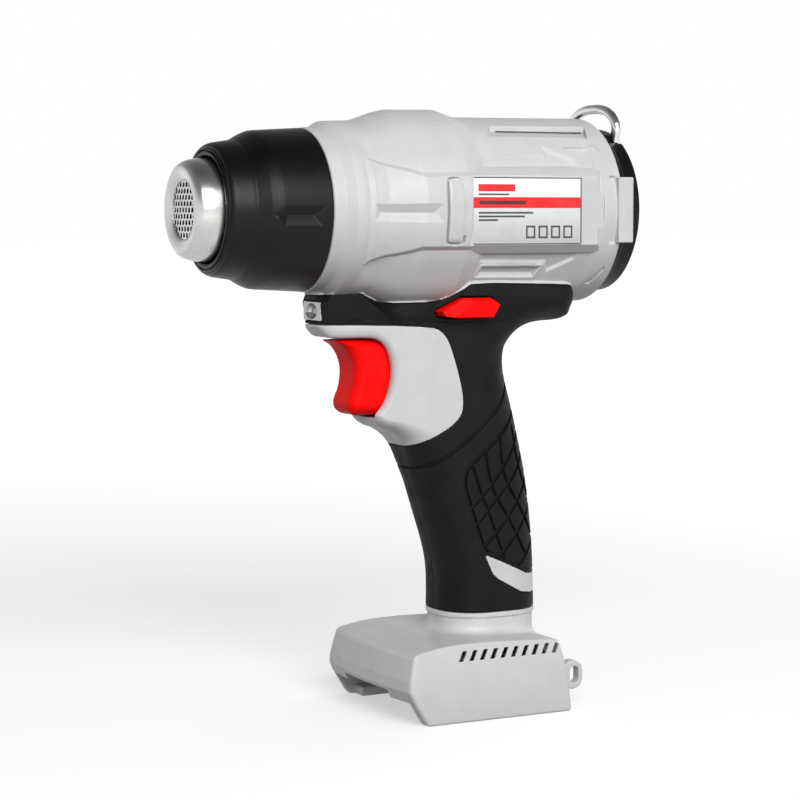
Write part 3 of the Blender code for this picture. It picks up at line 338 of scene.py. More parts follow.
def block(x, y, z, xs, ys, zs, radius=0.0):
    """A box between limits, with rounded edges."""
    terms = []
    for value, (low, high) in ((x, xs), (y, ys), (z, zs)):
        terms.append(np.abs(value - (low + high) / 2) - (high - low) / 2 + radius)
    inner = np.minimum(np.maximum(np.maximum(terms[0], terms[1]), terms[2]), 0.0)
    outer = np.sqrt(sum(np.maximum(term, 0.0) ** 2 for term in terms))
    return inner + outer - radius


def extruded(side, x_term, radius):
    """A side-view field pushed out to a half width, with its edges rounded by radius."""
    a = side + radius
    b = x_term + radius
    corner = np.sqrt(np.maximum(a, 0.0) ** 2 + np.maximum(b, 0.0) ** 2)
    return corner + np.minimum(np.maximum(a, b), 0.0) - radius


class Profile:
    """A radius along y, with its corners eased over a short length, and its slope."""

    def __init__(self, points, ease=0.8):
        self.start = points[0][0]
        self.step = 0.05
        places = np.arange(self.start, points[-1][0], self.step)
        sharp = np.interp(places, [p[0] for p in points], [p[1] for p in points])
        window = np.hanning(max(int(2 * ease / self.step), 3) + 2)
        padded = np.pad(sharp, len(window), mode="edge")
        smooth = np.convolve(padded, window / window.sum(), mode="same")[len(window):-len(window)]
        self.places = places
        self.radius = smooth
        self.steepness = np.sqrt(1.0 + np.gradient(smooth, self.step) ** 2)

    def field(self, y, r, raised=0.0):
        radius = np.interp(y, self.places, self.radius).astype(np.float32)
        steepness = np.interp(y, self.places, self.steepness).astype(np.float32)
        return (r - radius - raised) / steepness


class Relief:
    """Heights over an unrolled surface, from (along, across) tables that are read between their points."""

    def __init__(self, us, vs, heights, step=0.12):
        self.low = (us[0], vs[0])
        self.step = step
        u = np.arange(us[0], us[1], step, dtype=np.float32)[:, None]
        v = np.arange(vs[0], vs[1], step, dtype=np.float32)[None, :]
        self.table = heights(u, v).astype(np.float32)

    def at(self, u, v):
        top_u, top_v = self.table.shape[0] - 1.001, self.table.shape[1] - 1.001
        u = np.clip((u - self.low[0]) / self.step, 0, top_u)
        v = np.clip((v - self.low[1]) / self.step, 0, top_v)
        iu, iv = u.astype(np.int32), v.astype(np.int32)
        fu, fv = (u - iu).astype(np.float32), (v - iv).astype(np.float32)
        t = self.table
        near = t[iu, iv] * (1 - fv) + t[iu, iv + 1] * fv
        far = t[iu + 1, iv] * (1 - fv) + t[iu + 1, iv + 1] * fv
        return near * (1 - fu) + far * fu


def inset(y, z, points, bevel):
    """1 well inside an outline, 0 outside it, with a straight bevel that lies inside the edge."""
    return np.clip(-outline(y, z, points) / bevel, 0.0, 1.0)


# ---------------------------------------------------------------- meshing

FAR = 200.0
CORNERS = [(i, j, k) for i in (0, 1) for j in (0, 1) for k in (0, 1)]
PROBES = np.array([(1, -1, -1), (-1, -1, 1), (-1, 1, -1), (1, 1, 1)], np.float32)


def sampled(field, low, counts, step):
    """The field on a grid, worked out a few x layers at a time."""
    y = (low[1] + step * np.arange(counts[1], dtype=np.float32))[None, :, None]
    z = (low[2] + step * np.arange(counts[2], dtype=np.float32))[None, None, :]
    values = np.empty(counts, np.float32)
    layers = max(int(1.2e6 / (counts[1] * counts[2])), 1)
    for first in range(0, counts[0], layers):
        last = min(first + layers, counts[0])
        x = (low[0] + step * np.arange(first, last, dtype=np.float32))[:, None, None]
        values[first:last] = field(x, y, z)
    return values


def surface_net(field, values, low, step):
    """Points and quads of the zero level: one point for each grid cell that it crosses.

    Each point is where the tangent planes of its cell's crossings meet, so edges and corners stay sharp.
    """
    inside = values < 0
    whole = inside.view(np.uint8)
    cells = [whole[i:whole.shape[0] - 1 + i, j:whole.shape[1] - 1 + j, k:whole.shape[2] - 1 + k]
             for i, j, k in CORNERS]
    count = sum(cells[1:], cells[0].copy())
    places = np.argwhere((count > 0) & (count < 8)).astype(np.int32)
    index = np.full(count.shape, -1, np.int32)
    index[places[:, 0], places[:, 1], places[:, 2]] = np.arange(len(places), dtype=np.int32)
    low = np.array(low, np.float32)
    size = len(places)
    planes = np.zeros((9, size))
    middle = np.zeros((3, size))
    hits = np.zeros(size)
    quads = []
    for axis in range(3):
        first = [slice(None)] * 3
        second = [slice(None)] * 3
        first[axis], second[axis] = slice(None, -1), slice(1, None)
        others = [(axis + 1) % 3, (axis + 2) % 3]
        for other in others:
            first[other] = second[other] = slice(1, -1)
        changed = inside[tuple(first)] != inside[tuple(second)]
        found = np.argwhere(changed).astype(np.int32)
        for other in others:
            found[:, other] += 1
        ahead = found.copy()
        ahead[:, axis] += 1
        before = values[found[:, 0], found[:, 1], found[:, 2]]
        after = values[ahead[:, 0], ahead[:, 1], ahead[:, 2]]
        crossing = found.astype(np.float32)
        crossing[:, axis] += before / (before - after)
        crossing = low + crossing * step
        value, slope = value_and_slope(field, crossing, 0.04)
        length = np.maximum(np.sqrt((slope**2).sum(1)), 0.2)
        normal = slope / length[:, None]
        crossing = crossing - normal * np.clip(value / length, -0.4 * step, 0.4 * step)[:, None]
        reach = (normal * crossing).sum(1)
        ring = []
        for back_a, back_b in ((1, 1), (0, 1), (0, 0), (1, 0)):
            cell = found.copy()
            cell[:, others[0]] -= back_a
            cell[:, others[1]] -= back_b
            ring.append(index[cell[:, 0], cell[:, 1], cell[:, 2]])
        for owner in ring:
            terms = (normal[:, 0] ** 2, normal[:, 1] ** 2, normal[:, 2] ** 2, normal[:, 0] * normal[:, 1],
                     normal[:, 0] * normal[:, 2], normal[:, 1] * normal[:, 2],
                     normal[:, 0] * reach, normal[:, 1] * reach, normal[:, 2] * reach)
            for row, term in enumerate(terms):
                planes[row] += np.bincount(owner, term, size)
            for row in range(3):
                middle[row] += np.bincount(owner, crossing[:, row], size)
            hits += np.bincount(owner, minlength=size)
        outward = inside[found[:, 0], found[:, 1], found[:, 2]]
        ring = np.stack(ring, 1)
        ring[~outward] = ring[~outward][:, ::-1]
        quads.append(ring)
    middle = (middle / np.maximum(hits, 1)).T
    pull = 0.06 * np.maximum(hits, 1)
    xx, yy, zz, xy, xz, yz = planes[:6]
    matrix = np.stack([xx + pull, xy, xz, xy, yy + pull, yz, xz, yz, zz + pull], 1).reshape(-1, 3, 3)
    points = np.linalg.solve(matrix, (planes[6:].T + pull[:, None] * middle)[:, :, None])[:, :, 0]
    centre = low + (places + 0.5) * step
    points = np.clip(points, centre - 0.62 * step, centre + 0.62 * step)
    return points.astype(np.float32), np.concatenate(quads)


def value_and_slope(field, points, reach):
    """The field and its gradient at scattered points, from four probes round each."""
    total = np.zeros(len(points), np.float32)
    slope = np.zeros((len(points), 3), np.float32)
    for probe in PROBES:
        p = points + probe * reach
        value = field(p[:, 0], p[:, 1], p[:, 2]).astype(np.float32)
        total += value
        slope += value[:, None] * probe
    return total / 4, slope / (4 * reach)


def mesh_from(name, points, faces):
    """A mesh from arrays of points and of faces with equal corner counts."""
    mesh = bpy.data.meshes.new(name)
    sides = faces.shape[1]
    mesh.vertices.add(len(points))
    mesh.vertices.foreach_set("co", points.astype(np.float32).ravel())
    mesh.loops.add(len(faces) * sides)
    mesh.loops.foreach_set("vertex_index", faces.astype(np.int32).ravel())
    mesh.polygons.add(len(faces))
    mesh.polygons.foreach_set("loop_start", np.arange(0, len(faces) * sides, sides, dtype=np.int32))
    mesh.update(calc_edges=True)
    return mesh


def thinned(obj, most_faces):
    """Decimates the object's mesh to a number of triangles."""
    sides = len(obj.data.polygons) * 2
    modifier = obj.modifiers.new("thin", "DECIMATE")
    modifier.ratio = min(1.0, most_faces / sides)
    modifier.use_collapse_triangulate = True
    obj.modifiers.new("triangles", "TRIANGULATE")
    bpy.context.view_layer.update()
    graph = bpy.context.evaluated_depsgraph_get()
    mesh = bpy.data.meshes.new_from_object(obj.evaluated_get(graph))
    obj.modifiers.clear()
    old = obj.data
    obj.data = mesh
    bpy.data.meshes.remove(old)
    mesh.name = obj.name
    return mesh


def face_with_field(mesh, field):
    """Sets each corner's normal to the field's slope just inside its own face, so that creases stay crisp."""
    points = np.empty(len(mesh.vertices) * 3, np.float32)
    mesh.vertices.foreach_get("co", points)
    points = points.reshape(-1, 3)
    corners = np.empty(len(mesh.loops), np.int32)
    mesh.loops.foreach_get("vertex_index", corners)
    flat = np.empty(len(mesh.polygons) * 3, np.float32)
    mesh.polygons.foreach_get("normal", flat)
    flat = np.repeat(flat.reshape(-1, 3), 3, axis=0)
    at = points[corners]
    centre = np.repeat(at.reshape(-1, 3, 3).mean(1), 3, axis=0)
    at = at + 0.22 * (centre - at)
    _, slope = value_and_slope(field, at, 0.05)
    normals = slope / np.maximum(np.sqrt((slope**2).sum(1)), 1e-6)[:, None]
    turned_away = (normals * flat).sum(1) < 0.8
    normals[turned_away] = flat[turned_away]
    mesh.polygons.foreach_set("use_smooth", np.ones(len(mesh.polygons), bool))
    mesh.normals_split_custom_set(normals.tolist())


def place(mesh):
    """From millimetres round the barrel's axis to the frame's metres."""
    mesh.transform(Matrix.Translation((0, AXIS_SHIFT * MM, AXIS_HEIGHT * MM)) @ Matrix.Scale(MM, 4))


def linked(name, data):
    """An object for a mesh, light or camera, in the scene."""
    obj = bpy.data.objects.new(name, data)
    bpy.context.scene.collection.objects.link(obj)
    return obj


def piece(obj, node, slot, body="housing", look=None):
    """Gives a finished piece the material of its slot (or of look), parents it to its body and hides the CAD
    node that it stands for.
    """
    obj.data.materials.clear()
    obj.data.materials.append(LOOKS[look or slot])
    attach(obj, body)
    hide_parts(node)


def sculpted(name, field, limits, step, most_faces, node, slot, **finish):
    """A piece whose surface is the field's zero level inside limits ((x), (y), (z))."""
    step = step * COARSER
    low = np.array([limit[0] for limit in limits], np.float32) - 1.37 * step
    counts = [int(math.ceil((limit[1] - limit[0]) / step)) + 4 for limit in limits]
    points, quads = surface_net(field, sampled(field, low, counts, step), low, step)
    obj = linked(name, mesh_from(name, points, quads))
    mesh = thinned(obj, most_faces / COARSER)
    face_with_field(mesh, field)
    place(mesh)
    piece(obj, node, slot, **finish)


# ---------------------------------------------------------------- barrel field

BARREL = Profile(BARREL_PROFILE, 0.35)


def barrel_heights(y, v):
    """Raised and sunk areas of the barrel's side, over y and the arc length above the side's middle."""
    side = ramp(-np.abs(v), -36.0, -22.0)
    panel = inset(y, v, PANEL, 2.0)
    height = -SIDE_DROP * side * ramp(y, -30.0, -24.0)
    height += SIDE_DROP * side * panel
    middle = ramp(y, 17.0, 20.0)
    for facet in (UPPER_FACET, LOWER_FACET):
        height -= FACET_DEPTH * middle * inset(y, v, facet, 1.1)
    ring = ramp(y, REAR_RING_Y + 1.5, REAR_RING_Y + 4.0) * (1 - ramp(y, 78.0, 82.0))
    height += SIDE_DROP * side * ring * (1 - panel)
    height -= V_DEPTH * inset(y, v, V_GROOVE, 3.2)
    tab = outline(y, v, eased(TAB))
    shallow = 1 - 0.75 * ramp(y, 3.0, 6.5) * ramp(v, -9.5, -8.5)
    height -= TAB_GROOVE * (1 - ramp(np.abs(tab - 0.35), 0.25, 0.6)) * shallow
    height += 0.25 * ramp(-tab, 0.4, 1.4)
    slot = outline(y, v, LOWER_SLOT)
    height -= LOWER_SLOT_DEPTH * ramp(-slot, 0.0, 0.5)
    height += 0.35 * (1 - ramp(np.abs(slot - 0.7), 0.3, 0.7))
    height -= UPPER_SLOT_DEPTH * ramp(-outline(y, v, UPPER_SLOT), 0.0, 0.5)
    height -= WEDGE_DEPTH * ramp(-outline(y, v, REAR_WEDGE), 0.0, 0.6)
    strip = ramp(y, 69.6, 70.2) * (1 - ramp(y, 72.4, 72.9)) * ramp(-np.abs(v), -13.0, -12.2)
    return height - STRIP_GROOVE * strip


BARREL_RELIEF = Relief((-45.0, 85.0), (-56.0, 56.0), barrel_heights)


def barrel(x, y, z):
    """The grey barrel's outside, before the parts that cut it."""
    across = np.abs(x)
    r = np.sqrt(x * x + z * z)
    v = ARC * np.arctan2(z, across)
    field = BARREL.field(y, r, BARREL_RELIEF.at(y, v))
    within = np.maximum(np.maximum(PAD[0][0] - y, y - PAD[1][0]), np.abs(z) - PAD_FLAT)
    field = np.maximum(field, -np.maximum(PAD_X - across, within))
    edge = outline(y, z, PAD)
    pad = np.maximum(across - PAD_X, (across - PAD_X + 1.25 * (edge + PAD_BEVEL)) * 0.62)
    pad = np.maximum(pad, np.maximum(PAD[0][0] - y, edge - 0.6))
    field = np.minimum(field, np.maximum(pad, PAD_ROOT_X - across))
    notch = np.maximum(NOTCH_X - across, NOTCH_FLOOR - 0.31 * (across - NOTCH_X) - z)
    notch = np.maximum(notch, NOTCH_Y[0] - 0.75 * (across - NOTCH_X) - y)
    notch = np.maximum(notch, y - NOTCH_Y[1] + 0.45 * (across - NOTCH_X))
    field = np.maximum(field, -notch)
    beside, under = (NOTCH_X - 1.4, NOTCH_X + 0.5), (NOTCH_FLOOR - 1.3, NOTCH_FLOOR + 0.3)
    return np.maximum(field, -block(across, y, z, beside, SLIT_Y, under, 0.1))


def barrel_ends(y):
    """The barrel's front and rear faces."""
    return np.maximum(COLLAR_REAR - y, y - BARREL_END)


# ---------------------------------------------------------------- band and grip field

EASED_BODY = eased(BODY, 2)
EASED_SURROUND = eased(SURROUND, 2)
EASED_CHEVRON = eased(CHEVRON, 1, share=0.12)
EASED_TRIM = eased(TRIM, 1, closed=False, share=0.2)
EASED_PALM = eased(PALM_GROOVE, 2, closed=False)
EASED_PAD_LINES = [eased(line, 2, closed=False) for line in PAD_LINES]
GRIP_PAD_AREA = eased(GRIP_PAD, 2, closed=False) + GRIP_PAD_REAR


def body_side(y, z):
    """The side-view terms of the band and grip: outline, half width and edge rounding.

    Below STRIP_BOTTOM the half width is the grip's own. Above it, the band follows the barrel's side and
    narrows into the nose, which has a crease and a thin lip.
    """
    side = outline(y, z, EASED_BODY)
    wedge = NOSE_HALF_WIDTH + SIDE_SPREAD * (y - NOSE_Y)
    low = soft_min(along(z, GRIP_WIDTH), wedge, 1.5)
    trim_z = along(y, TRIM)
    barrel_radius = np.interp(y, BARREL.places, BARREL.radius)
    barrel_x = np.sqrt(np.maximum(barrel_radius**2 - trim_z**2, 40.0))
    beside_barrel = barrel_x + 0.7 + 0.9 * np.maximum(trim_z - z, -0.8)
    strip = soft_min(along(y, STRIP_WIDTH), beside_barrel, 1.0)
    below = np.maximum(trim_z - STRIP_DEPTH - z, 0.0)
    (ay, az), (by, bz) = NOSE_CREASE
    length = math.hypot(by - ay, bz - az)
    behind = ((z - az) * (by - ay) - (y - ay) * (bz - az)) / length
    front_face = low + 0.2 * np.maximum(z + 41.0, 0.0)
    strip = np.minimum(strip - 0.62 * below, front_face + 0.85 * np.maximum(behind, 0.0))
    lip = np.minimum(low - 0.5, beside_barrel)
    width = np.where(z > STRIP_BOTTOM, np.maximum(strip, lip), soft_max(strip - 2.0, low, 1.0))
    front = along(z, FRONT_ROUNDING)
    rear = along(z, REAR_ROUNDING)
    rounding = front + (rear - front) * ramp(y, -8.0, 26.0)
    return side, width, np.minimum(rounding, width - 0.6)


class SideTerms:
    """body_side, kept for one grid so that every x layer can share it."""

    def __init__(self):
        self.key = None

    def __call__(self, y, z):
        if y.ndim != 3:
            return body_side(y, z)
        key = (y.shape, z.shape, float(y.flat[0]), float(z.flat[0]), float(y.flat[-1]))
        if key != self.key:
            self.key = key
            self.value = body_side(y, z)
        return self.value


SIDE_TERMS = SideTerms()


def body(x, y, z):
    """The outside of the band, the trigger surround and the grip, rubber included."""
    side, width, rounding = SIDE_TERMS(y, z)
    return extruded(side, np.abs(x) - width, rounding)


def rubber_area(y, z):
    """Where the rubber lies, in the side view: the band and grip less the bare grey areas."""
    top = z - along(y, EASED_TRIM)
    area = soft_max(top, GRIP_BOTTOM - z, 0.3)
    area = np.maximum(area, -(outline(y, z, EASED_SURROUND) - SEAM))
    return np.maximum(area, -(outline(y, z, EASED_CHEVRON) - SEAM))


def bare_area(y, z):
    """The grey areas that lie level with the rubber."""
    low = np.minimum(outline(y, z, EASED_SURROUND), outline(y, z, EASED_CHEVRON))
    return np.minimum(low, z - GRIP_BOTTOM + SEAM)


def cover_heights(y, z):
    """Grooves in the rubber: the palm line, the pad's border and its crossing lines."""
    depth = PALM_DEPTH * (1 - ramp(line_gap(y, z, EASED_PALM), 0.2, 0.85))
    pad = outline(y, z, GRIP_PAD_AREA)
    depth = np.maximum(depth, PAD_BORDER_DEPTH * (1 - ramp(np.abs(pad), 0.25, 0.85)))
    lines = line_gap(y, z, EASED_PAD_LINES[0])
    for line in EASED_PAD_LINES[1:]:
        lines = np.minimum(lines, line_gap(y, z, line))
    depth = np.maximum(depth, PAD_LINE_DEPTH * (1 - ramp(lines, 0.25, 0.8)) * ramp(-pad, -0.3, 0.3))
    return depth * ramp(outline(y, z, EASED_CHEVRON), 0.8, 2.0)


COVER_RELIEF = Relief((-20.0, 60.0), (GROOVE_BOTTOM, GROOVE_TOP), cover_heights)


def cutouts(x, y, z, grow):
    """The lamp's and the lock button's windows, grown by an amount."""
    lamp = block(x, y, z, (-LED_HALF_WIDTH - grow, LED_HALF_WIDTH + grow), LED_WINDOW_Y,
                 (LED_WINDOW_Z[0] - grow, LED_WINDOW_Z[1] + grow), 0.6)
    return np.minimum(lamp, outline(y, z, LOCK_WINDOW) - grow)


def cover(side):
    """The rubber skin of one side of the tool."""

    def field(x, y, z):
        outside = body(x, y, z)
        level = np.clip(z, GROOVE_BOTTOM + 0.5, GROOVE_TOP)
        detail = np.where(z < GROOVE_TOP, COVER_RELIEF.at(y, level), 0.0)
        skin = soft_max(outside + detail, rubber_area(y, z), 0.7)
        skin = np.maximum(skin, -(outside + SKIN))
        r = np.sqrt(x * x + z * z)
        skin = soft_max(skin, -(BARREL.field(y, r) - 0.25), 0.3)
        skin = soft_max(skin, -cutouts(x, y, z, 0.1), 0.5)
        if side < 0:
            skin = np.maximum(skin, -screw_ways(x, y, z, SCREW_HEAD + 0.6))
        return soft_max(skin, 0.02 - side * x, 0.3)

    return field


def screw_ways(x, y, z, radius):
    """Round holes from the -X side down to each screw head's seat."""
    nearest = None
    for sy, sz, head_x in SCREWS:
        hole = np.sqrt((y - sy) ** 2 + (z - sz) ** 2) - radius
        hole = np.maximum(hole, x - (head_x + SCREW_SEAT))
        nearest = hole if nearest is None else np.minimum(nearest, hole)
    return nearest


# ---------------------------------------------------------------- foot field


def foot_outside(x, y, z):
    """The battery foot with the neck above it."""
    side = outline(y, z, FOOT_SIDE)
    across = np.abs(x) - (FOOT_HALF_WIDTH - FOOT_TUMBLE * (z - FOOT_WIDEST_Z) ** 2)
    plate = extruded(side, across, 0.8)
    front = along(z, FOOT_FRONT) - FOOT_BOW * (1 - (x / 34.0) ** 2) - y
    plate = soft_max(plate, front * 0.93, 1.6)
    return soft_min(plate, neck(x, y, z), 3.6)


def neck(x, y, z):
    """The grip's grey root, set in a little below a thin step."""
    inset_by = 0.25 + 0.45 * (1 - ramp(z, -150.2, -149.8))
    across = np.abs(x) - NECK_HALF_WIDTH
    shaft = extruded(outline(y, z, EASED_BODY) + inset_by, across + inset_by, NECK_ROUNDING)
    return np.maximum(shaft, z - GRIP_BOTTOM + SEAM)


def lanyard_lug(x, y, z):
    """The eye's loop before its hole, on the left side at the rear."""
    way = np.sqrt((y - EYE[0] + 0.6) ** 2 + np.maximum(np.abs(z - EYE[1]) - 1.2, 0.0) ** 2)
    arm = np.maximum(np.abs(z - EYE[1]) - 4.4, np.maximum(y - EYE[0], 46.0 - y))
    return soft_max(np.minimum(way - EYE_OUTER, arm), np.abs(x - EYE_X) - EYE_HALF_THICKNESS, 0.7)


def foot(x, y, z):
    """The foot with its hollow, its battery slot, vents and lanyard eye."""
    plain = foot_outside(x, y, z)
    outside = soft_min(plain, lanyard_lug(x, y, z), 0.9)
    field = np.maximum(outside, -soft_max(outside + WALL, FLOOR_TOP - z, 0.5))
    throat = block(x, y, z, *THROAT, 3.0)
    shaft = extruded(outline(y, z, EASED_BODY), np.abs(x) - NECK_HALF_WIDTH, NECK_ROUNDING)
    field = np.maximum(field, -np.maximum(throat, shaft + WALL))
    slot = block(x, y, z, (-SLOT_HALF_WIDTH, SLOT_HALF_WIDTH), (-60.0, SLOT_REAR), (-230.0, SLOT_ROOF), 0.8)
    rail = block(np.abs(x), y, z, (RAIL_HALF_WIDTH, 40.0), (RAIL_FRONT, 60.0), (-230.0, RAIL_TOP), 0.7)
    field = soft_max(field, -np.maximum(slot, -rail), 0.4)
    field = np.maximum(field, -block(x, y, z, *CABLE_WAY, 0.5))
    groove = block(x, y, z, *FRONT_GROOVE, 0.6)
    field = np.maximum(field, -np.maximum(groove, -(outside + FRONT_GROOVE_DEPTH)))
    hole = np.sqrt((y - EYE[0]) ** 2 + np.maximum(np.abs(z - EYE[1]) - 1.3, 0.0) ** 2) - EYE_HOLE
    field = soft_max(field, -np.maximum(hole, INNER_X - x), 0.5)
    thin = block(np.abs(x), y, z, *THINNED, 0.5)
    field = np.maximum(field, -np.maximum(thin, plain + THIN_WALL))
    for start in VENTS:
        slant = y - start - VENT_SLANT * (z - VENT_Z) - 0.7
        slit = np.maximum(np.abs(slant) - 0.95, np.abs(z - VENT_Z) - 1.8)
        field = np.maximum(field, -np.maximum(slit, INNER_X - np.abs(x)))
    return field


# ---------------------------------------------------------------- housing


def housing(side):
    """One clamshell half of the grey housing."""

    def field(x, y, z):
        clip = np.maximum(block(np.abs(x), y, z, *CLIP, 0.6), CLIP_FRONT - y)
        tube = soft_max(barrel(x, y, z), barrel_ends(y), 1.2)
        round_barrel = BARREL.field(y, np.sqrt(x * x + z * z))
        bore = round_barrel + np.interp(y, *BORE)
        tube = np.maximum(tube, -bore)
        outside = body(x, y, z)
        grey = np.maximum(outside, bare_area(y, z))
        core = np.maximum(outside + SKIN + UNDER_SKIN, z - CORE_TOP)
        bead_gap = np.abs(z - along(y, EASED_TRIM) - 0.25)
        bead = soft_max(np.maximum(outside - 0.4, bead_gap - 0.45), round_barrel - 1.3, 0.3)
        bead = np.maximum(bead, np.maximum(BEAD_Y[0] - y, y - BEAD_Y[1]))
        grip = np.minimum(np.minimum(grey, core), bead)
        grip = np.maximum(grip, GRIP_BOTTOM - 2.0 - z)
        grip = np.maximum(grip, -(outside + SKIN + UNDER_SKIN + WALL))
        shell = soft_min(tube, np.maximum(grip, -bore), 0.35)
        shell = np.minimum(shell, np.where(z < FOOT_REACH, foot(x, y, z), FAR))
        shell = np.minimum(shell, clip)
        shell = soft_max(shell, -cutouts(x, y, z, 0.1), 0.4)
        shell = soft_max(shell, -block(x, y, z, *TRIGGER_POCKET, 1.0), 0.5)
        if side > 0:
            seat = block(x, y, z, (LABEL_FLOOR - 0.3, 60.0), LABEL_Y, LABEL_Z, 0.3)
            shell = np.maximum(shell, -seat)
        else:
            shell = np.maximum(shell, -screw_ways(x, y, z, SCREW_HEAD + 0.35))
        shell = np.maximum(shell, np.sqrt(x * x + np.maximum(z, 0.0) ** 2) - WIDEST)
        return soft_max(shell, 0.04 - side * x, 0.2)

    return field


# ---------------------------------------------------------------- collar and nozzle

COLLAR = Profile(COLLAR_PROFILE, 0.3)


def collar_heights(y, v):
    """The V notches on the collar's sides."""
    return -V_DEPTH * inset(y, v, COLLAR_GROOVE, 3.4)


COLLAR_RELIEF = Relief((-80.0, -38.0), (-46.0, 46.0), collar_heights)


def collar(x, y, z):
    r = np.sqrt(x * x + z * z)
    v = COLLAR_ARC * np.arctan2(z, np.abs(x))
    field = COLLAR.field(y, r, COLLAR_RELIEF.at(y, v))
    field = soft_max(field, COLLAR_FRONT - y, 3.4)
    field = soft_max(field, y - COLLAR_REAR, 0.8)
    for radius in COLLAR_RINGS:
        groove = np.maximum(np.abs(r - radius) - 0.28, y - COLLAR_FRONT - 0.9)
        field = soft_max(field, -groove, 0.3)
    bore = r - np.interp(y, *COLLAR_BORE)
    return soft_max(field, -bore, 0.8)


def grille(x, y, z):
    """A fine punched sheet, slightly domed, just behind the outlet's rim."""
    r = np.sqrt(x * x + z * z)
    dome = y - GRILLE_Y + GRILLE_DOME * (1 - (r / GRILLE_RADIUS) ** 2)
    sheet = np.abs(dome) - GRILLE_HALF_SHEET
    row = np.floor(z / GRILLE_PITCH[1] + 0.5)
    offset = 0.5 * (row % 2)
    near_x = x - GRILLE_PITCH[0] * (np.floor(x / GRILLE_PITCH[0] - offset + 0.5) + offset)
    near_z = z - row * GRILLE_PITCH[1]
    hole = np.sqrt((near_x / 1.12) ** 2 + near_z**2) - GRILLE_HOLE
    hole = np.maximum(hole, r - GRILLE_RADIUS + GRILLE_RIM)
    return soft_max(np.maximum(sheet, r - GRILLE_RADIUS), -hole, 0.15)


def ring_points(section, sides):
    """Points and quads of a closed (y, radius) section turned round the axis."""
    angles = np.arange(sides) * (2 * math.pi / sides)
    section = np.array(section, np.float32)
    rows = len(section)
    x = section[None, :, 1] * np.cos(angles)[:, None]
    z = section[None, :, 1] * np.sin(angles)[:, None]
    y = np.broadcast_to(section[None, :, 0], x.shape)
    points = np.stack([x, y, z], -1).reshape(-1, 3)
    i, j = np.meshgrid(np.arange(sides), np.arange(rows), indexing="ij")
    k, m = (i + 1) % sides, (j + 1) % rows
    faces = np.stack([i * rows + j, i * rows + m, k * rows + m, k * rows + j], -1).reshape(-1, 4)
    return points, faces


def turned(name, section, sides, node, slot):
    """A closed section turned round the barrel's axis, shaded smooth except at sharp corners."""
    points, faces = ring_points(section, sides)
    mesh = mesh_from(name, points, faces)
    if signed_volume(points, faces) < 0:
        mesh.flip_normals()
    mesh.shade_smooth()
    mesh.set_sharp_from_angle(angle=math.radians(38))
    place(mesh)
    piece(linked(name, mesh), node, slot)


def signed_volume(points, faces):
    a, b, c, d = (points[faces[:, n]].astype(float) for n in range(4))
    return float((np.einsum("ij,ij->i", a, np.cross(b, c)) + np.einsum("ij,ij->i", a, np.cross(c, d))).sum())


def rounded_section(points, radius=0.5, steps=4):
    """A closed section with each corner replaced by a short curve."""
    result = []
    count = len(points)
    for i in range(count):
        here = np.array(points[i], float)
        before = np.array(points[i - 1], float) - here
        after = np.array(points[(i + 1) % count], float) - here
        reach = min(radius, np.linalg.norm(before) * 0.45, np.linalg.norm(after) * 0.45)
        start = here + before / np.linalg.norm(before) * reach
        end = here + after / np.linalg.norm(after) * reach
        for n in range(steps + 1):
            t = n / steps
            result.append(tuple((1 - t) ** 2 * start + 2 * t * (1 - t) * here + t * t * end))
    return result


# ---------------------------------------------------------------- controls


def trigger(x, y, z):
    side = outline(y, z, eased(TRIGGER[:-2], 1, closed=False) + TRIGGER[-1:])
    face = extruded(side, np.abs(x) - TRIGGER_HALF_WIDTH, TRIGGER_EDGE)
    return np.maximum(face, y - TRIGGER[0][0])


def lock_button(x, y, z):
    side = outline(y, z, LOCK)
    field = extruded(side, np.maximum(x - LOCK_X[1], LOCK_X[0] - x), 0.5)
    ridge = -0.555 * (y - LOCK_RIDGE[0]) + 0.832 * (z - LOCK_RIDGE[1])
    facet = (x - LOCK_X[1] + 0.42 * ridge) * 0.92
    bevel = (x - LOCK_X[1] + 0.8 * (z + 33.1)) * 0.78
    return soft_max(soft_max(field, facet, 0.25), bevel, 0.25)


def led_reflector(x, y, z):
    """A bright plate with an oval bowl round the lamp."""
    shell = block(x, y, z, *LED_PLATE, 0.6)
    up = z - LED_Z
    wide, deep, high = LED_BOWL
    bowl = np.sqrt((x / wide) ** 2 + (up / high) ** 2 + ((y - LED_BOWL_Y) / deep) ** 2) * high - high
    stem = np.maximum(np.sqrt(x * x + up**2) - 1.6, y + 29.0)
    return soft_max(soft_max(shell, -bowl, 0.4), -stem, 0.3)


def lens(x, y, z):
    """The lamp: a round-nosed rod."""
    r = np.sqrt(x * x + (z - LED_Z) ** 2)
    ball = np.sqrt(r * r + (y - LENS_Y[0]) ** 2) - LENS_RADIUS
    rod = np.maximum(r - LENS_RADIUS, np.maximum(LENS_Y[0] - y, y - LENS_Y[1]))
    return np.minimum(ball, rod)


def label(x, y, z):
    return block(x, y, z, LABEL_X, *[(low + 0.3, high - 0.3) for low, high in (LABEL_Y, LABEL_Z)], 0.15)


# ---------------------------------------------------------------- rear cap and hook


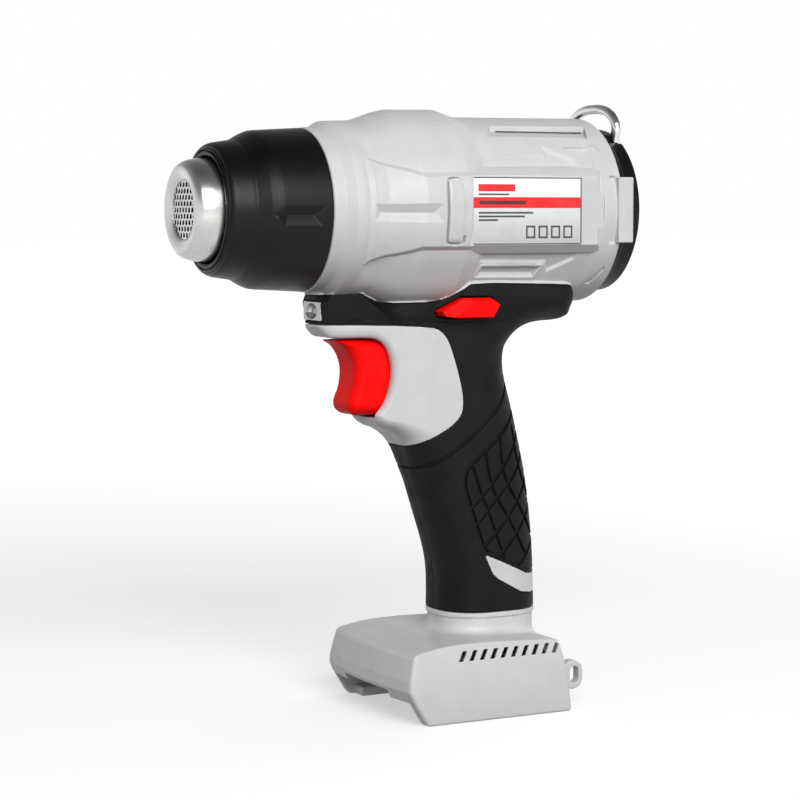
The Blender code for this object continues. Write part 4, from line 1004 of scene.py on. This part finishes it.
def rear_cap(x, y, z):
    """The domed cover with its intake slits, the hook's ears and a spigot inside the barrel."""
    r = np.sqrt(x * x + z * z)
    top = np.interp(r, *CAP_TOP)
    field = soft_max((y - top) * 0.75, r - CAP_RADIUS, 0.8)
    field = np.maximum(field, BARREL_END + 0.3 - y)
    radius, front, rear = CAP_SPIGOT
    field = np.minimum(field, np.maximum(np.maximum(r - radius, front - y), y - rear))
    field = np.maximum(field, -np.maximum(r - CAP_CAVITY[0], y - CAP_CAVITY[1]))
    for side in (-1, 1):
        ear = block(x * side, y, z, *CAP_EAR, 1.0)
        field = np.minimum(field, np.maximum(ear, (y - top + 0.2) * 0.75))
    field = np.maximum(field, -block(np.abs(x), y, z, *CAP_EAR_SLOT, 0.5))
    pin = np.sqrt((y - HOOK_Y) ** 2 + (z - HOOK_Z) ** 2) - HOOK_WIRE - 0.25
    field = np.maximum(field, -np.maximum(pin, np.abs(np.abs(x) - CAP_PIN_X[0]) - CAP_PIN_X[1]))
    field = np.maximum(field, -block(np.abs(x), y, z, *CAP_CLIP_GAP, 0.3))
    for i in range(-3, 4):
        middle = INTAKE_PITCH * i
        half = 8.5 if i == 3 else math.sqrt(INTAKE_RADIUS**2 - middle**2) - 2.0
        band = (middle - INTAKE_HALF_HEIGHT, middle + INTAKE_HALF_HEIGHT)
        field = soft_max(field, -block(x, y, z, (-half, half), (78.0, 99.0), band, 0.9), 0.5)
    return field


def hook_centre():
    """Centre line of the bail in (x, z): pin, bend, leg, crown and back down."""
    half_width, rise, foot_z = HOOK_CROWN
    inner = HOOK_LEG_X - HOOK_BEND
    points = [(HOOK_PIN_X, HOOK_Z), (10.5, HOOK_Z), (inner, HOOK_Z)]
    for step in range(1, 9):
        angle = math.pi / 2 * step / 8
        points.append((inner + HOOK_BEND * math.sin(angle), HOOK_Z + HOOK_BEND * (1 - math.cos(angle))))
    points += [(HOOK_LEG_X + 0.5, 25.3), (HOOK_LEG_X + 1.0, 27.2)]
    for step in range(17):
        angle = math.pi / 2 * step / 16
        across = half_width * math.cos(angle) ** 0.85 if step < 16 else 0.0
        points.append((across, foot_z + rise * math.sin(angle)))
    return points + [(-x, z) for x, z in reversed(points[:-1])]


def curve_through(line):
    """A smooth curve through the points, with four steps to each stretch."""
    fine = [line[0]]
    for i in range(len(line) - 1):
        p0, p1, p2, p3 = line[max(i - 1, 0)], line[i], line[i + 1], line[min(i + 2, len(line) - 1)]
        for n in range(1, 5):
            t = n / 4
            fine.append(0.5 * (2 * p1 + (p2 - p0) * t + (2 * p0 - 5 * p1 + 4 * p2 - p3) * t * t
                               + (3 * p1 - p0 - 3 * p2 + p3) * t**3))
    return np.array(fine)


def wire(name, centre, y, radius, sides, node, slot, **finish):
    """A round wire along a line in the plane at y, with rounded ends."""
    fine = curve_through(np.array([(x, y, z) for x, z in centre], float))
    tangent = np.gradient(fine, axis=0)
    tangent /= np.linalg.norm(tangent, axis=1)[:, None]
    across = np.cross(tangent, (0.0, 1.0, 0.0))
    angles = np.arange(sides) * 2 * math.pi / sides
    rings = []
    nose = [(-0.95, 0.35), (-0.7, 0.72), (-0.35, 0.94)]
    for shift, share in nose:
        rings.append((fine[0] + tangent[0] * (shift + 0.95) * radius * 0.5, across[0], share))
    rings += [(fine[i], across[i], 1.0) for i in range(2, len(fine) - 2)]
    for shift, share in reversed(nose):
        rings.append((fine[-1] - tangent[-1] * (shift + 0.95) * radius * 0.5, across[-1], share))
    cosines, sines = np.cos(angles)[:, None], np.sin(angles)[:, None]
    backwards = np.array((0, 1.0, 0))
    points = [middle + radius * share * (cosines * side + sines * backwards) for middle, side, share in rings]
    count = len(points)
    points = np.concatenate(points + [fine[:1], fine[-1:]])
    i, j = np.meshgrid(np.arange(count - 1), np.arange(sides), indexing="ij")
    k = (j + 1) % sides
    corners = [i * sides + j, i * sides + k, (i + 1) * sides + k, (i + 1) * sides + j]
    faces = np.stack(corners, -1).reshape(-1, 4)
    first, last = count * sides, count * sides + 1
    rim = [(a, (a + 1) % sides) for a in range(sides)]
    caps = [(first, b, a) for a, b in rim]
    caps += [(last, (count - 1) * sides + a, (count - 1) * sides + b) for a, b in rim]
    mesh = bpy.data.meshes.new(name)
    mesh.from_pydata(points.tolist(), [], faces.tolist() + caps)
    if signed_volume(points, faces) < 0:
        mesh.flip_normals()
    mesh.shade_smooth()
    place(mesh)
    piece(linked(name, mesh), node, slot, **finish)


def screw(y0, z0, head_x):
    """A pan head with a cross recess on a threaded shank, along X."""
    half_width, half_length, depth = CROSS

    def field(x, y, z):
        r = np.sqrt((y - y0) ** 2 + (z - z0) ** 2)
        crown = head_x + 0.75 * (r / SCREW_HEAD) ** 4
        head = soft_max(r - SCREW_HEAD, np.maximum(crown - x, x - head_x - HEAD_HEIGHT), 0.4)
        cross = np.minimum(np.maximum(np.abs(y - y0) - half_width, np.abs(z - z0) - half_length),
                           np.maximum(np.abs(z - z0) - half_width, np.abs(y - y0) - half_length))
        cross = np.maximum(cross, x - head_x - depth)
        angle = np.arctan2(z - z0, y - y0) / (2 * math.pi)
        thread = THREAD_DEPTH * np.abs(((x / THREAD_PITCH + angle) % 1.0) - 0.5) * 2
        shank = np.maximum(r - SCREW_SHANK + thread - 0.02, np.maximum(head_x + 1.0 - x, x - SCREW_TIP_X))
        return np.minimum(soft_max(head, -cross, 0.2), shank)

    return field


# ---------------------------------------------------------------- materials


def srgb(*values):
    """A linear colour from 0-255 display values."""
    shares = [v / 255 for v in values]
    return tuple(v / 12.92 if v <= 0.04045 else ((v + 0.055) / 1.055) ** 2.4 for v in shares)


def scaled(colour, factor, lift=0.0):
    """A lighter or darker colour, kept within 1."""
    return tuple(min(c * factor + lift, 1.0) for c in colour)


class Look:
    """A Principled material being wired: noise, mixes and bumps are added step by step."""

    def __init__(self, name, colour, roughness, metallic=0.0, **constants):
        self.material = bpy.data.materials.new(name)
        self.material.use_nodes = True
        self.tree = self.material.node_tree
        self.shader = self.tree.nodes["Principled BSDF"]
        self.set("Base Color", (*colour, 1.0))
        self.set("Roughness", roughness)
        self.set("Metallic", metallic)
        for socket, value in constants.items():
            self.set(socket.replace("_", " "), value)
        self.place = self.tree.nodes.new("ShaderNodeTexCoord").outputs["Object"]
        self.last_bump = None

    def set(self, socket, value):
        self.shader.inputs[socket].default_value = value

    def node(self, kind, **settings):
        made = self.tree.nodes.new("ShaderNode" + kind)
        for key, value in settings.items():
            setattr(made, key, value)
        return made

    def link(self, source, target):
        self.tree.links.new(source, target)

    def noise(self, size_mm, detail=3.0, rough=0.55, stretch=None):
        """Noise whose features are about size_mm wide."""
        place = self.place
        if stretch:
            mapping = self.node("Mapping")
            mapping.inputs["Scale"].default_value = stretch
            self.link(place, mapping.inputs["Vector"])
            place = mapping.outputs["Vector"]
        made = self.node("TexNoise")
        made.inputs["Scale"].default_value = 1000.0 / size_mm
        made.inputs["Detail"].default_value = detail
        made.inputs["Roughness"].default_value = rough
        self.link(place, made.inputs["Vector"])
        return made.outputs["Fac"]

    def patches(self, size_mm, detail, low, high, rough=0.55):
        """Soft patches of noise between two levels."""
        return self.range(self.noise(size_mm, detail, rough), 0.3, 0.7, low, high)

    def cells(self, size_mm, feature="F1", output="Distance"):
        made = self.node("TexVoronoi", feature=feature)
        made.inputs["Scale"].default_value = 1000.0 / size_mm
        self.link(self.place, made.inputs["Vector"])
        return made.outputs[output]

    def range(self, source, low, high, to_low, to_high):
        made = self.node("MapRange")
        made.inputs["From Min"].default_value = low
        made.inputs["From Max"].default_value = high
        made.inputs["To Min"].default_value = to_low
        made.inputs["To Max"].default_value = to_high
        self.link(source, made.inputs["Value"])
        return made.outputs["Result"]

    def math(self, operation, a, b):
        made = self.node("Math", operation=operation)
        for socket, value in zip(made.inputs, (a, b)):
            if isinstance(value, (int, float)):
                socket.default_value = value
            else:
                self.link(value, socket)
        return made.outputs[0]

    def mix(self, factor, first, second):
        """A colour between two, each an RGB triple or a socket."""
        made = self.node("Mix", data_type="RGBA")
        for name, value in (("Factor_Float", factor), ("A_Color", first), ("B_Color", second)):
            socket = next(s for s in made.inputs if s.identifier == name)
            if isinstance(value, tuple):
                socket.default_value = (*value, 1.0)
            elif isinstance(value, (int, float)):
                socket.default_value = value
            else:
                self.link(value, socket)
        return next(s for s in made.outputs if s.identifier == "Result_Color")

    def bump(self, height, strength, distance_mm):
        made = self.node("Bump")
        made.inputs["Strength"].default_value = strength
        made.inputs["Distance"].default_value = distance_mm * MM
        self.link(height, made.inputs["Height"])
        if self.last_bump is not None:
            self.link(self.last_bump, made.inputs["Normal"])
        self.last_bump = made.outputs["Normal"]
        self.link(self.last_bump, self.shader.inputs["Normal"])

    def paint(self, colour_socket):
        self.link(colour_socket, self.shader.inputs["Base Color"])

    def shine(self, roughness_socket):
        self.link(roughness_socket, self.shader.inputs["Roughness"])

    def edge_wear_and_highlight(self, low, high):
        """1 on convex edges, broken up by noise; colour lightened with it is partly wear and partly a painted
        highlight.
        """
        edge = self.range(self.node("NewGeometry").outputs["Pointiness"], low, high, 0.0, 1.0)
        return self.math("MULTIPLY", edge, self.range(self.noise(3.0), 0.35, 0.65, 0.0, 1.0))


def moulded(name, colour, roughness, grain_mm=0.34, grain_depth=0.02, shade=0.06, **constants):
    """Injection-moulded plastic: spark-eroded grain, faint flow marks, and convex edges a little polished and
    painted lighter, partly as wear and partly as a painted highlight.
    """
    look = Look(name, colour, roughness, **constants)
    grain = look.noise(grain_mm, 2.0, 0.5)
    look.bump(look.noise(22.0, 2.0, 0.4), 0.05, 0.25)
    look.bump(grain, 0.55, grain_depth)
    light = scaled(colour, 1 + shade * 0.6)
    mottled = look.mix(look.patches(9.0, 4.0, 0.0, 1.0), scaled(colour, 1 - shade), light)
    speckled = look.mix(look.range(grain, 0.35, 0.65, 0.0, 0.35), mottled, light)
    edges = look.edge_wear_and_highlight(0.52, 0.60)
    # Convex edges painted lighter: partly wear, partly a painted highlight along the creases.
    look.paint(look.mix(look.math("MULTIPLY", edges, 0.35), speckled, scaled(colour, 1.18, 0.01)))
    varied = look.patches(14.0, 4.0, roughness - 0.05, roughness + 0.06, 0.6)
    look.shine(look.math("SUBTRACT", varied, look.math("MULTIPLY", edges, 0.08)))
    return look.material


def rubber(name, colour):
    """Soft over-moulded rubber: leathery fine grain, dusty patches, and convex edges painted lighter, partly
    rubbed wear and partly a painted highlight.
    """
    look = Look(name, colour, 0.62, Specular_IOR_Level=0.16)
    cells = look.cells(0.55, "SMOOTH_F1")
    look.bump(cells, 0.35, 0.05)
    look.bump(look.noise(0.3, 2.0), 0.35, 0.03)
    dust = look.range(look.noise(16.0, 5.0, 0.6), 0.35, 0.75, 0.0, 1.0)
    # Convex edges painted lighter: partly rubbed wear, partly a painted highlight.
    rubbed_and_highlit = look.edge_wear_and_highlight(0.52, 0.62)
    soft = look.mix(dust, colour, scaled(colour, 1.5, 0.002))
    look.paint(look.mix(look.math("MULTIPLY", rubbed_and_highlit, 0.5), soft, scaled(colour, 2.2, 0.006)))
    look.shine(look.patches(7.0, 4.0, 0.54, 0.70))
    return look.material


TURNED = (0.35, 12.0, 0.35)
DRAWN = (1.0, 1.0, 0.05)


def metal(name, colour, roughness, brushed=None, smudge=0.06, scratch=0.25):
    """Metal with fine lines, stretched along brushed, and with smudges."""
    look = Look(name, colour, roughness, 1.0)
    lines = look.noise(1.2 if brushed else 0.6, 3.0, 0.6, brushed)
    look.bump(lines, scratch, 0.01)
    smudges = look.noise(8.0, 4.0, 0.6)
    look.shine(look.range(smudges, 0.3, 0.7, max(roughness - smudge, 0.03), roughness + smudge))
    look.paint(look.mix(look.range(smudges, 0.35, 0.75, 0.0, 1.0), colour, scaled(colour, 0.86)))
    return look.material


def label_look():
    """White top, red bar and grey foot, with plain bars where a maker would print."""
    look = Look("label_film", srgb(236, 236, 238), 0.34)
    split = look.node("SeparateXYZ")
    look.link(look.place, split.inputs[0])
    y = look.math("MULTIPLY", split.outputs["Y"], 1000.0)
    z = look.math("SUBTRACT", look.math("MULTIPLY", split.outputs["Z"], 1000.0), float(AXIS_HEIGHT))
    y = look.math("SUBTRACT", y, float(AXIS_SHIFT))

    def band(source, low, high):
        above = look.math("GREATER_THAN", source, low)
        return look.math("MULTIPLY", above, look.math("LESS_THAN", source, high))

    def bar(ys, zs):
        return look.math("MULTIPLY", band(y, *ys), band(z, *zs))

    fade = look.range(z, -12.0, 1.0, 0.0, 1.0)
    paper = look.mix(fade, srgb(176, 177, 179), srgb(214, 214, 216))
    paper = look.mix(look.math("GREATER_THAN", z, 0.7), paper, srgb(244, 244, 246))
    paper = look.mix(band(z, 0.7, 4.6), paper, srgb(232, 12, 14))
    mark = bar((14.4, 29.5), (6.6, 9.2))
    paper = look.mix(mark, paper, srgb(226, 20, 22))
    small = look.math("MAXIMUM", bar((14.4, 27.0), (5.2, 5.9)), bar((14.8, 34.0), (2.0, 3.3)))
    for row, end in ((-1.0, 37.0), (-2.3, 33.5), (-3.6, 22.5)):
        small = look.math("MAXIMUM", small, bar((14.6, end), (row - 0.35, row + 0.35)))
    for start in (34.0, 39.2, 44.4, 49.6):
        outer = bar((start, start + 3.9), (-10.2, -5.6))
        inner = bar((start + 0.7, start + 3.2), (-9.5, -6.3))
        small = look.math("MAXIMUM", small, look.math("SUBTRACT", outer, inner))
    paper = look.mix(look.math("MULTIPLY", small, 0.92), paper, srgb(26, 26, 28))
    grime = look.range(look.noise(5.0, 4.0), 0.45, 0.75, 0.0, 0.12)
    look.paint(look.mix(grime, paper, srgb(120, 118, 114)))
    look.bump(look.noise(0.5, 2.0), 0.12, 0.01)
    look.shine(look.patches(6.0, 3.0, 0.28, 0.42))
    return look.material


def lens_look():
    look = Look("lens_epoxy", (0.95, 0.97, 1.0), 0.06, Transmission_Weight=0.85, IOR=1.5)
    look.bump(look.noise(0.8, 2.0), 0.05, 0.01)
    look.shine(look.patches(1.5, 3.0, 0.04, 0.12))
    return look.material


def board_look():
    green = (0.02, 0.16, 0.05)
    look = Look("solder_mask", green, 0.32, Coat_Weight=0.4)
    tracks = look.node("TexBrick")
    tracks.inputs["Scale"].default_value = 420.0
    look.link(look.place, tracks.inputs["Vector"])
    look.paint(look.mix(look.range(tracks.outputs["Fac"], 0.0, 1.0, 0.0, 0.8), green, (0.05, 0.30, 0.10)))
    look.bump(look.noise(0.7, 2.0), 0.2, 0.02)
    look.shine(look.patches(3.0, 3.0, 0.26, 0.4))
    return look.material


def mica_look():
    look = Look("mica_sheet", (0.62, 0.55, 0.42), 0.5)
    flakes = look.cells(2.2, "F1", "Color")
    grey = look.node("RGBToBW")
    look.link(flakes, grey.inputs[0])
    blotches = look.range(grey.outputs[0], 0.0, 1.0, 0.0, 0.6)
    look.paint(look.mix(blotches, (0.60, 0.52, 0.38), (0.78, 0.72, 0.58)))
    look.bump(look.noise(0.9, 3.0), 0.4, 0.05)
    look.shine(look.range(grey.outputs[0], 0.0, 1.0, 0.38, 0.62))
    return look.material


LOOKS = {
    "housing_grey": moulded("light_grey_abs", srgb(190, 190, 191), 0.42, Specular_IOR_Level=0.42),
    "grip_rubber": rubber("black_rubber", (0.0026, 0.0026, 0.0028)),
    "nylon_black": moulded("black_glass_nylon", (0.0022, 0.0022, 0.0024), 0.36, 0.4, 0.045, 0.25,
                           Specular_IOR_Level=0.2),
    "inner_black": moulded("inner_black_nylon", (0.012, 0.012, 0.013), 0.5, 0.5, 0.03, 0.25),
    "trigger_red": moulded("red_plastic", srgb(240, 8, 6), 0.46, 0.3, 0.012, 0.05, Specular_IOR_Level=0.05),
    "nozzle_steel": metal("nozzle_stainless", (0.60, 0.59, 0.58), 0.24, TURNED, 0.05, 0.4),
    "motor_steel": metal("drawn_steel", (0.55, 0.55, 0.56), 0.32, TURNED),
    "coil_wire": metal("oxidised_wire", (0.42, 0.38, 0.35), 0.4),
    "mica": mica_look(),
    "board_green": board_look(),
    "chrome": metal("bright_chrome", (0.70, 0.70, 0.72), 0.08, None, 0.03, 0.06),
    "lamp_silver": metal("vapour_silver", (0.40, 0.40, 0.41), 0.34, None, 0.05, 0.1),
    "lens_clear": lens_look(),
    "contact_brass": metal("brass_contact", (0.78, 0.55, 0.25), 0.28, DRAWN),
    "label_face": label_look(),
    "screw_steel": metal("zinc_screw", (0.50, 0.50, 0.52), 0.30),
}


# ---------------------------------------------------------------- pieces

for side, tag in ((1, "left"), (-1, "right")):
    half = (0.0, 36.9) if side > 0 else (-36.9, 0.0)
    sculpted("housing_%s_shell" % tag, housing(side), (half, (-41.0, 79.6), (SOLE, 37.0)), 0.48, 180000,
             "housing_" + tag, "housing_grey")
for side, tag in ((1, "left"), (-1, "right")):
    half = (0.0, 24.6) if side > 0 else (-24.6, 0.0)
    sculpted("grip_skin_" + tag, cover(side), (half, (-37.0, 71.0), (-150.0, -24.0)), 0.38, 140000,
             "grip_cover_" + tag, "grip_rubber")
sculpted("collar_moulding", collar, ((-29.6, 29.6), (COLLAR_FRONT, COLLAR_REAR), (-29.6, 29.6)), 0.4, 120000,
         "nozzle_collar", "nylon_black")
across_mesh = (-GRILLE_RADIUS, GRILLE_RADIUS)
sculpted("outlet_mesh", grille, (across_mesh, (GRILLE_Y - 0.9, GRILLE_Y + 0.4), across_mesh), 0.16, 110000,
         "nozzle_grille", "nozzle_steel")
turned("outlet_tube", rounded_section(TUBE, 0.55, 3), 128, "nozzle_tube", "nozzle_steel")
sculpted("trigger_cap", trigger, ((-9.3, 9.3), (-29.4, -5.0), (-74.6, -46.5)), 0.22, 60000,
         "trigger", "trigger_red", body="trigger")
sculpted("lock_slider", lock_button, ((-19.2, 24.7), (5.4, 28.8), (-39.1, -31.5)), 0.22, 40000,
         "lock_button", "trigger_red", body="lock")
sculpted("lamp_reflector", led_reflector, ((-7.0, 7.0), (-36.0, -30.3), (-39.8, -32.5)), 0.12, 40000,
         "led_reflector", "chrome", look="lamp_silver")
sculpted("rear_cap_moulding", rear_cap, ((-33.5, 33.5), (67.0, 85.4), (-33.5, 33.5)), 0.4, 140000,
         "rear_cap", "nylon_black")
wire("hanging_bail", hook_centre(), HOOK_Y, HOOK_WIRE, 32, "hanging_hook", "chrome", body="hook")
for number, (y0, z0, head_x) in enumerate(SCREWS, 1):
    around = [(middle - SCREW_HEAD, middle + SCREW_HEAD) for middle in (y0, z0)]
    sculpted("clamp_screw_%d" % number, screw(y0, z0, head_x), ((head_x, SCREW_TIP_X), *around), 0.2, 12000,
             "housing_screw_%d" % number, "screw_steel")
sculpted("lamp_lens", lens, ((-1.4, 1.4), (-35.4, -30.1), (LED_Z - 1.4, LED_Z + 1.4)), 0.1, 12000,
         "led_lens", "lens_clear")
sculpted("rating_plate", label, (LABEL_X, LABEL_Y, LABEL_Z), 0.15, 20000, "label_plate", "label_face")

SHOWN = {
    "mica": ("heat_sleeve", "heater_former"),
    "coil_wire": ("heating_coil",),
    "chrome": ("thermal_fuse",),
    "motor_steel": ("motor_shaft", "motor"),
    "inner_black": ("impeller", "motor_mount", "switch_body", "switch_plunger", "terminal_block"),
    "board_green": ("led_board", "control_board"),
    "contact_brass": ("contact_blade_1", "contact_blade_2", "contact_blade_3"),
}
for slot, nodes in SHOWN.items():
    for node in nodes:
        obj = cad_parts[node]
        obj.data.materials.clear()
        obj.data.materials.append(LOOKS[slot])

# ---------------------------------------------------------------- floor, light and camera

FLOOR_REACH = 12.0
STUDIO_LEVELS = ((0.0, 0.06), (0.44, 0.12), (0.47, 1.0), (0.58, 1.0), (0.72, 0.38), (1.0, 0.12))
MIDDLE = Vector((0.0, 0.0, 0.13))
AZIMUTH = math.radians(27.0)
PITCH = math.radians(4.743)
DISTANCE = 0.84


def floor():
    """A pale sheet, a little brighter far away, so that it meets the pale surroundings without a line."""
    mesh = bpy.data.meshes.new("studio_floor")
    corners = [(x * FLOOR_REACH, y * FLOOR_REACH, 0) for x, y in ((-1, -1), (1, -1), (1, 1), (-1, 1))]
    mesh.from_pydata(corners, [], [(0, 1, 2, 3)])
    obj = linked("studio_floor", mesh)
    look = Look("studio_paper", (0.55, 0.55, 0.55), 0.9)
    look.bump(look.noise(1.5, 3.0), 0.05, 0.02)
    look.shine(look.patches(30.0, 3.0, 0.85, 0.95))
    length = look.node("VectorMath", operation="LENGTH")
    look.link(look.place, length.inputs[0])
    glow = look.range(length.outputs["Value"], 0.30, 1.2, 0.50, 0.86)
    look.set("Emission Color", (1.0, 1.0, 1.0, 1.0))
    look.link(glow, look.shader.inputs["Emission Strength"])
    mesh.materials.append(look.material)
    obj.visible_diffuse = False


def surroundings():
    """A white studio: bright walls, a dimmer ceiling and a dark underside, which lights what faces down."""
    world = bpy.data.worlds.new("studio")
    world.use_nodes = True
    tree = world.node_tree
    direction = tree.nodes.new("ShaderNodeTexCoord")
    split = tree.nodes.new("ShaderNodeSeparateXYZ")
    tree.links.new(direction.outputs["Generated"], split.inputs[0])
    ramp_node = tree.nodes.new("ShaderNodeValToRGB")
    elements = ramp_node.color_ramp.elements
    for height, _ in STUDIO_LEVELS[1:-1]:
        elements.new(height)
    for element, (height, level) in zip(elements, STUDIO_LEVELS):
        element.position = height
        element.color = (level, level, level, 1.0)
    half = tree.nodes.new("ShaderNodeMath")
    half.operation = "MULTIPLY_ADD"
    half.inputs[1].default_value = 0.5
    half.inputs[2].default_value = 0.5
    tree.links.new(split.outputs["Z"], half.inputs[0])
    tree.links.new(half.outputs[0], ramp_node.inputs[0])
    tree.links.new(ramp_node.outputs[0], tree.nodes["Background"].inputs["Color"])
    bpy.context.scene.world = world


def softbox(name, spot, size, power):
    """A rectangular lamp that faces the tool's middle."""
    data = bpy.data.lights.new(name, "AREA")
    data.shape = "RECTANGLE"
    data.size, data.size_y = size
    data.energy = power
    obj = linked(name, data)
    obj.location = spot
    obj.rotation_euler = (MIDDLE - Vector(spot)).to_track_quat("-Z", "Y").to_euler()


def camera():
    """The photo's view: level with the barrel's axis, looking a little down."""
    data = bpy.data.cameras.new("camera")
    data.lens = 103.05
    data.sensor_width = 36.0
    data.clip_start = 0.01
    data.clip_end = 50.0
    obj = linked("camera", data)
    across, along_barrel, down = math.cos(AZIMUTH), math.sin(AZIMUTH), math.sin(PITCH)
    obj.location = (DISTANCE * across, -DISTANCE * along_barrel + AXIS_SHIFT * MM, AXIS_HEIGHT * MM)
    ahead = Vector((-across * math.cos(PITCH), along_barrel * math.cos(PITCH), -down))
    obj.rotation_euler = ahead.to_track_quat("-Z", "Y").to_euler()
    bpy.context.scene.camera = obj


floor()
surroundings()
bpy.context.scene.view_settings.view_transform = "Standard"
softbox("key", (1.09, -0.19, 0.72), (0.9, 0.7), 16.5)
softbox("rim", (-0.5, 1.1, 0.6), (0.9, 0.6), 3.0)
camera()
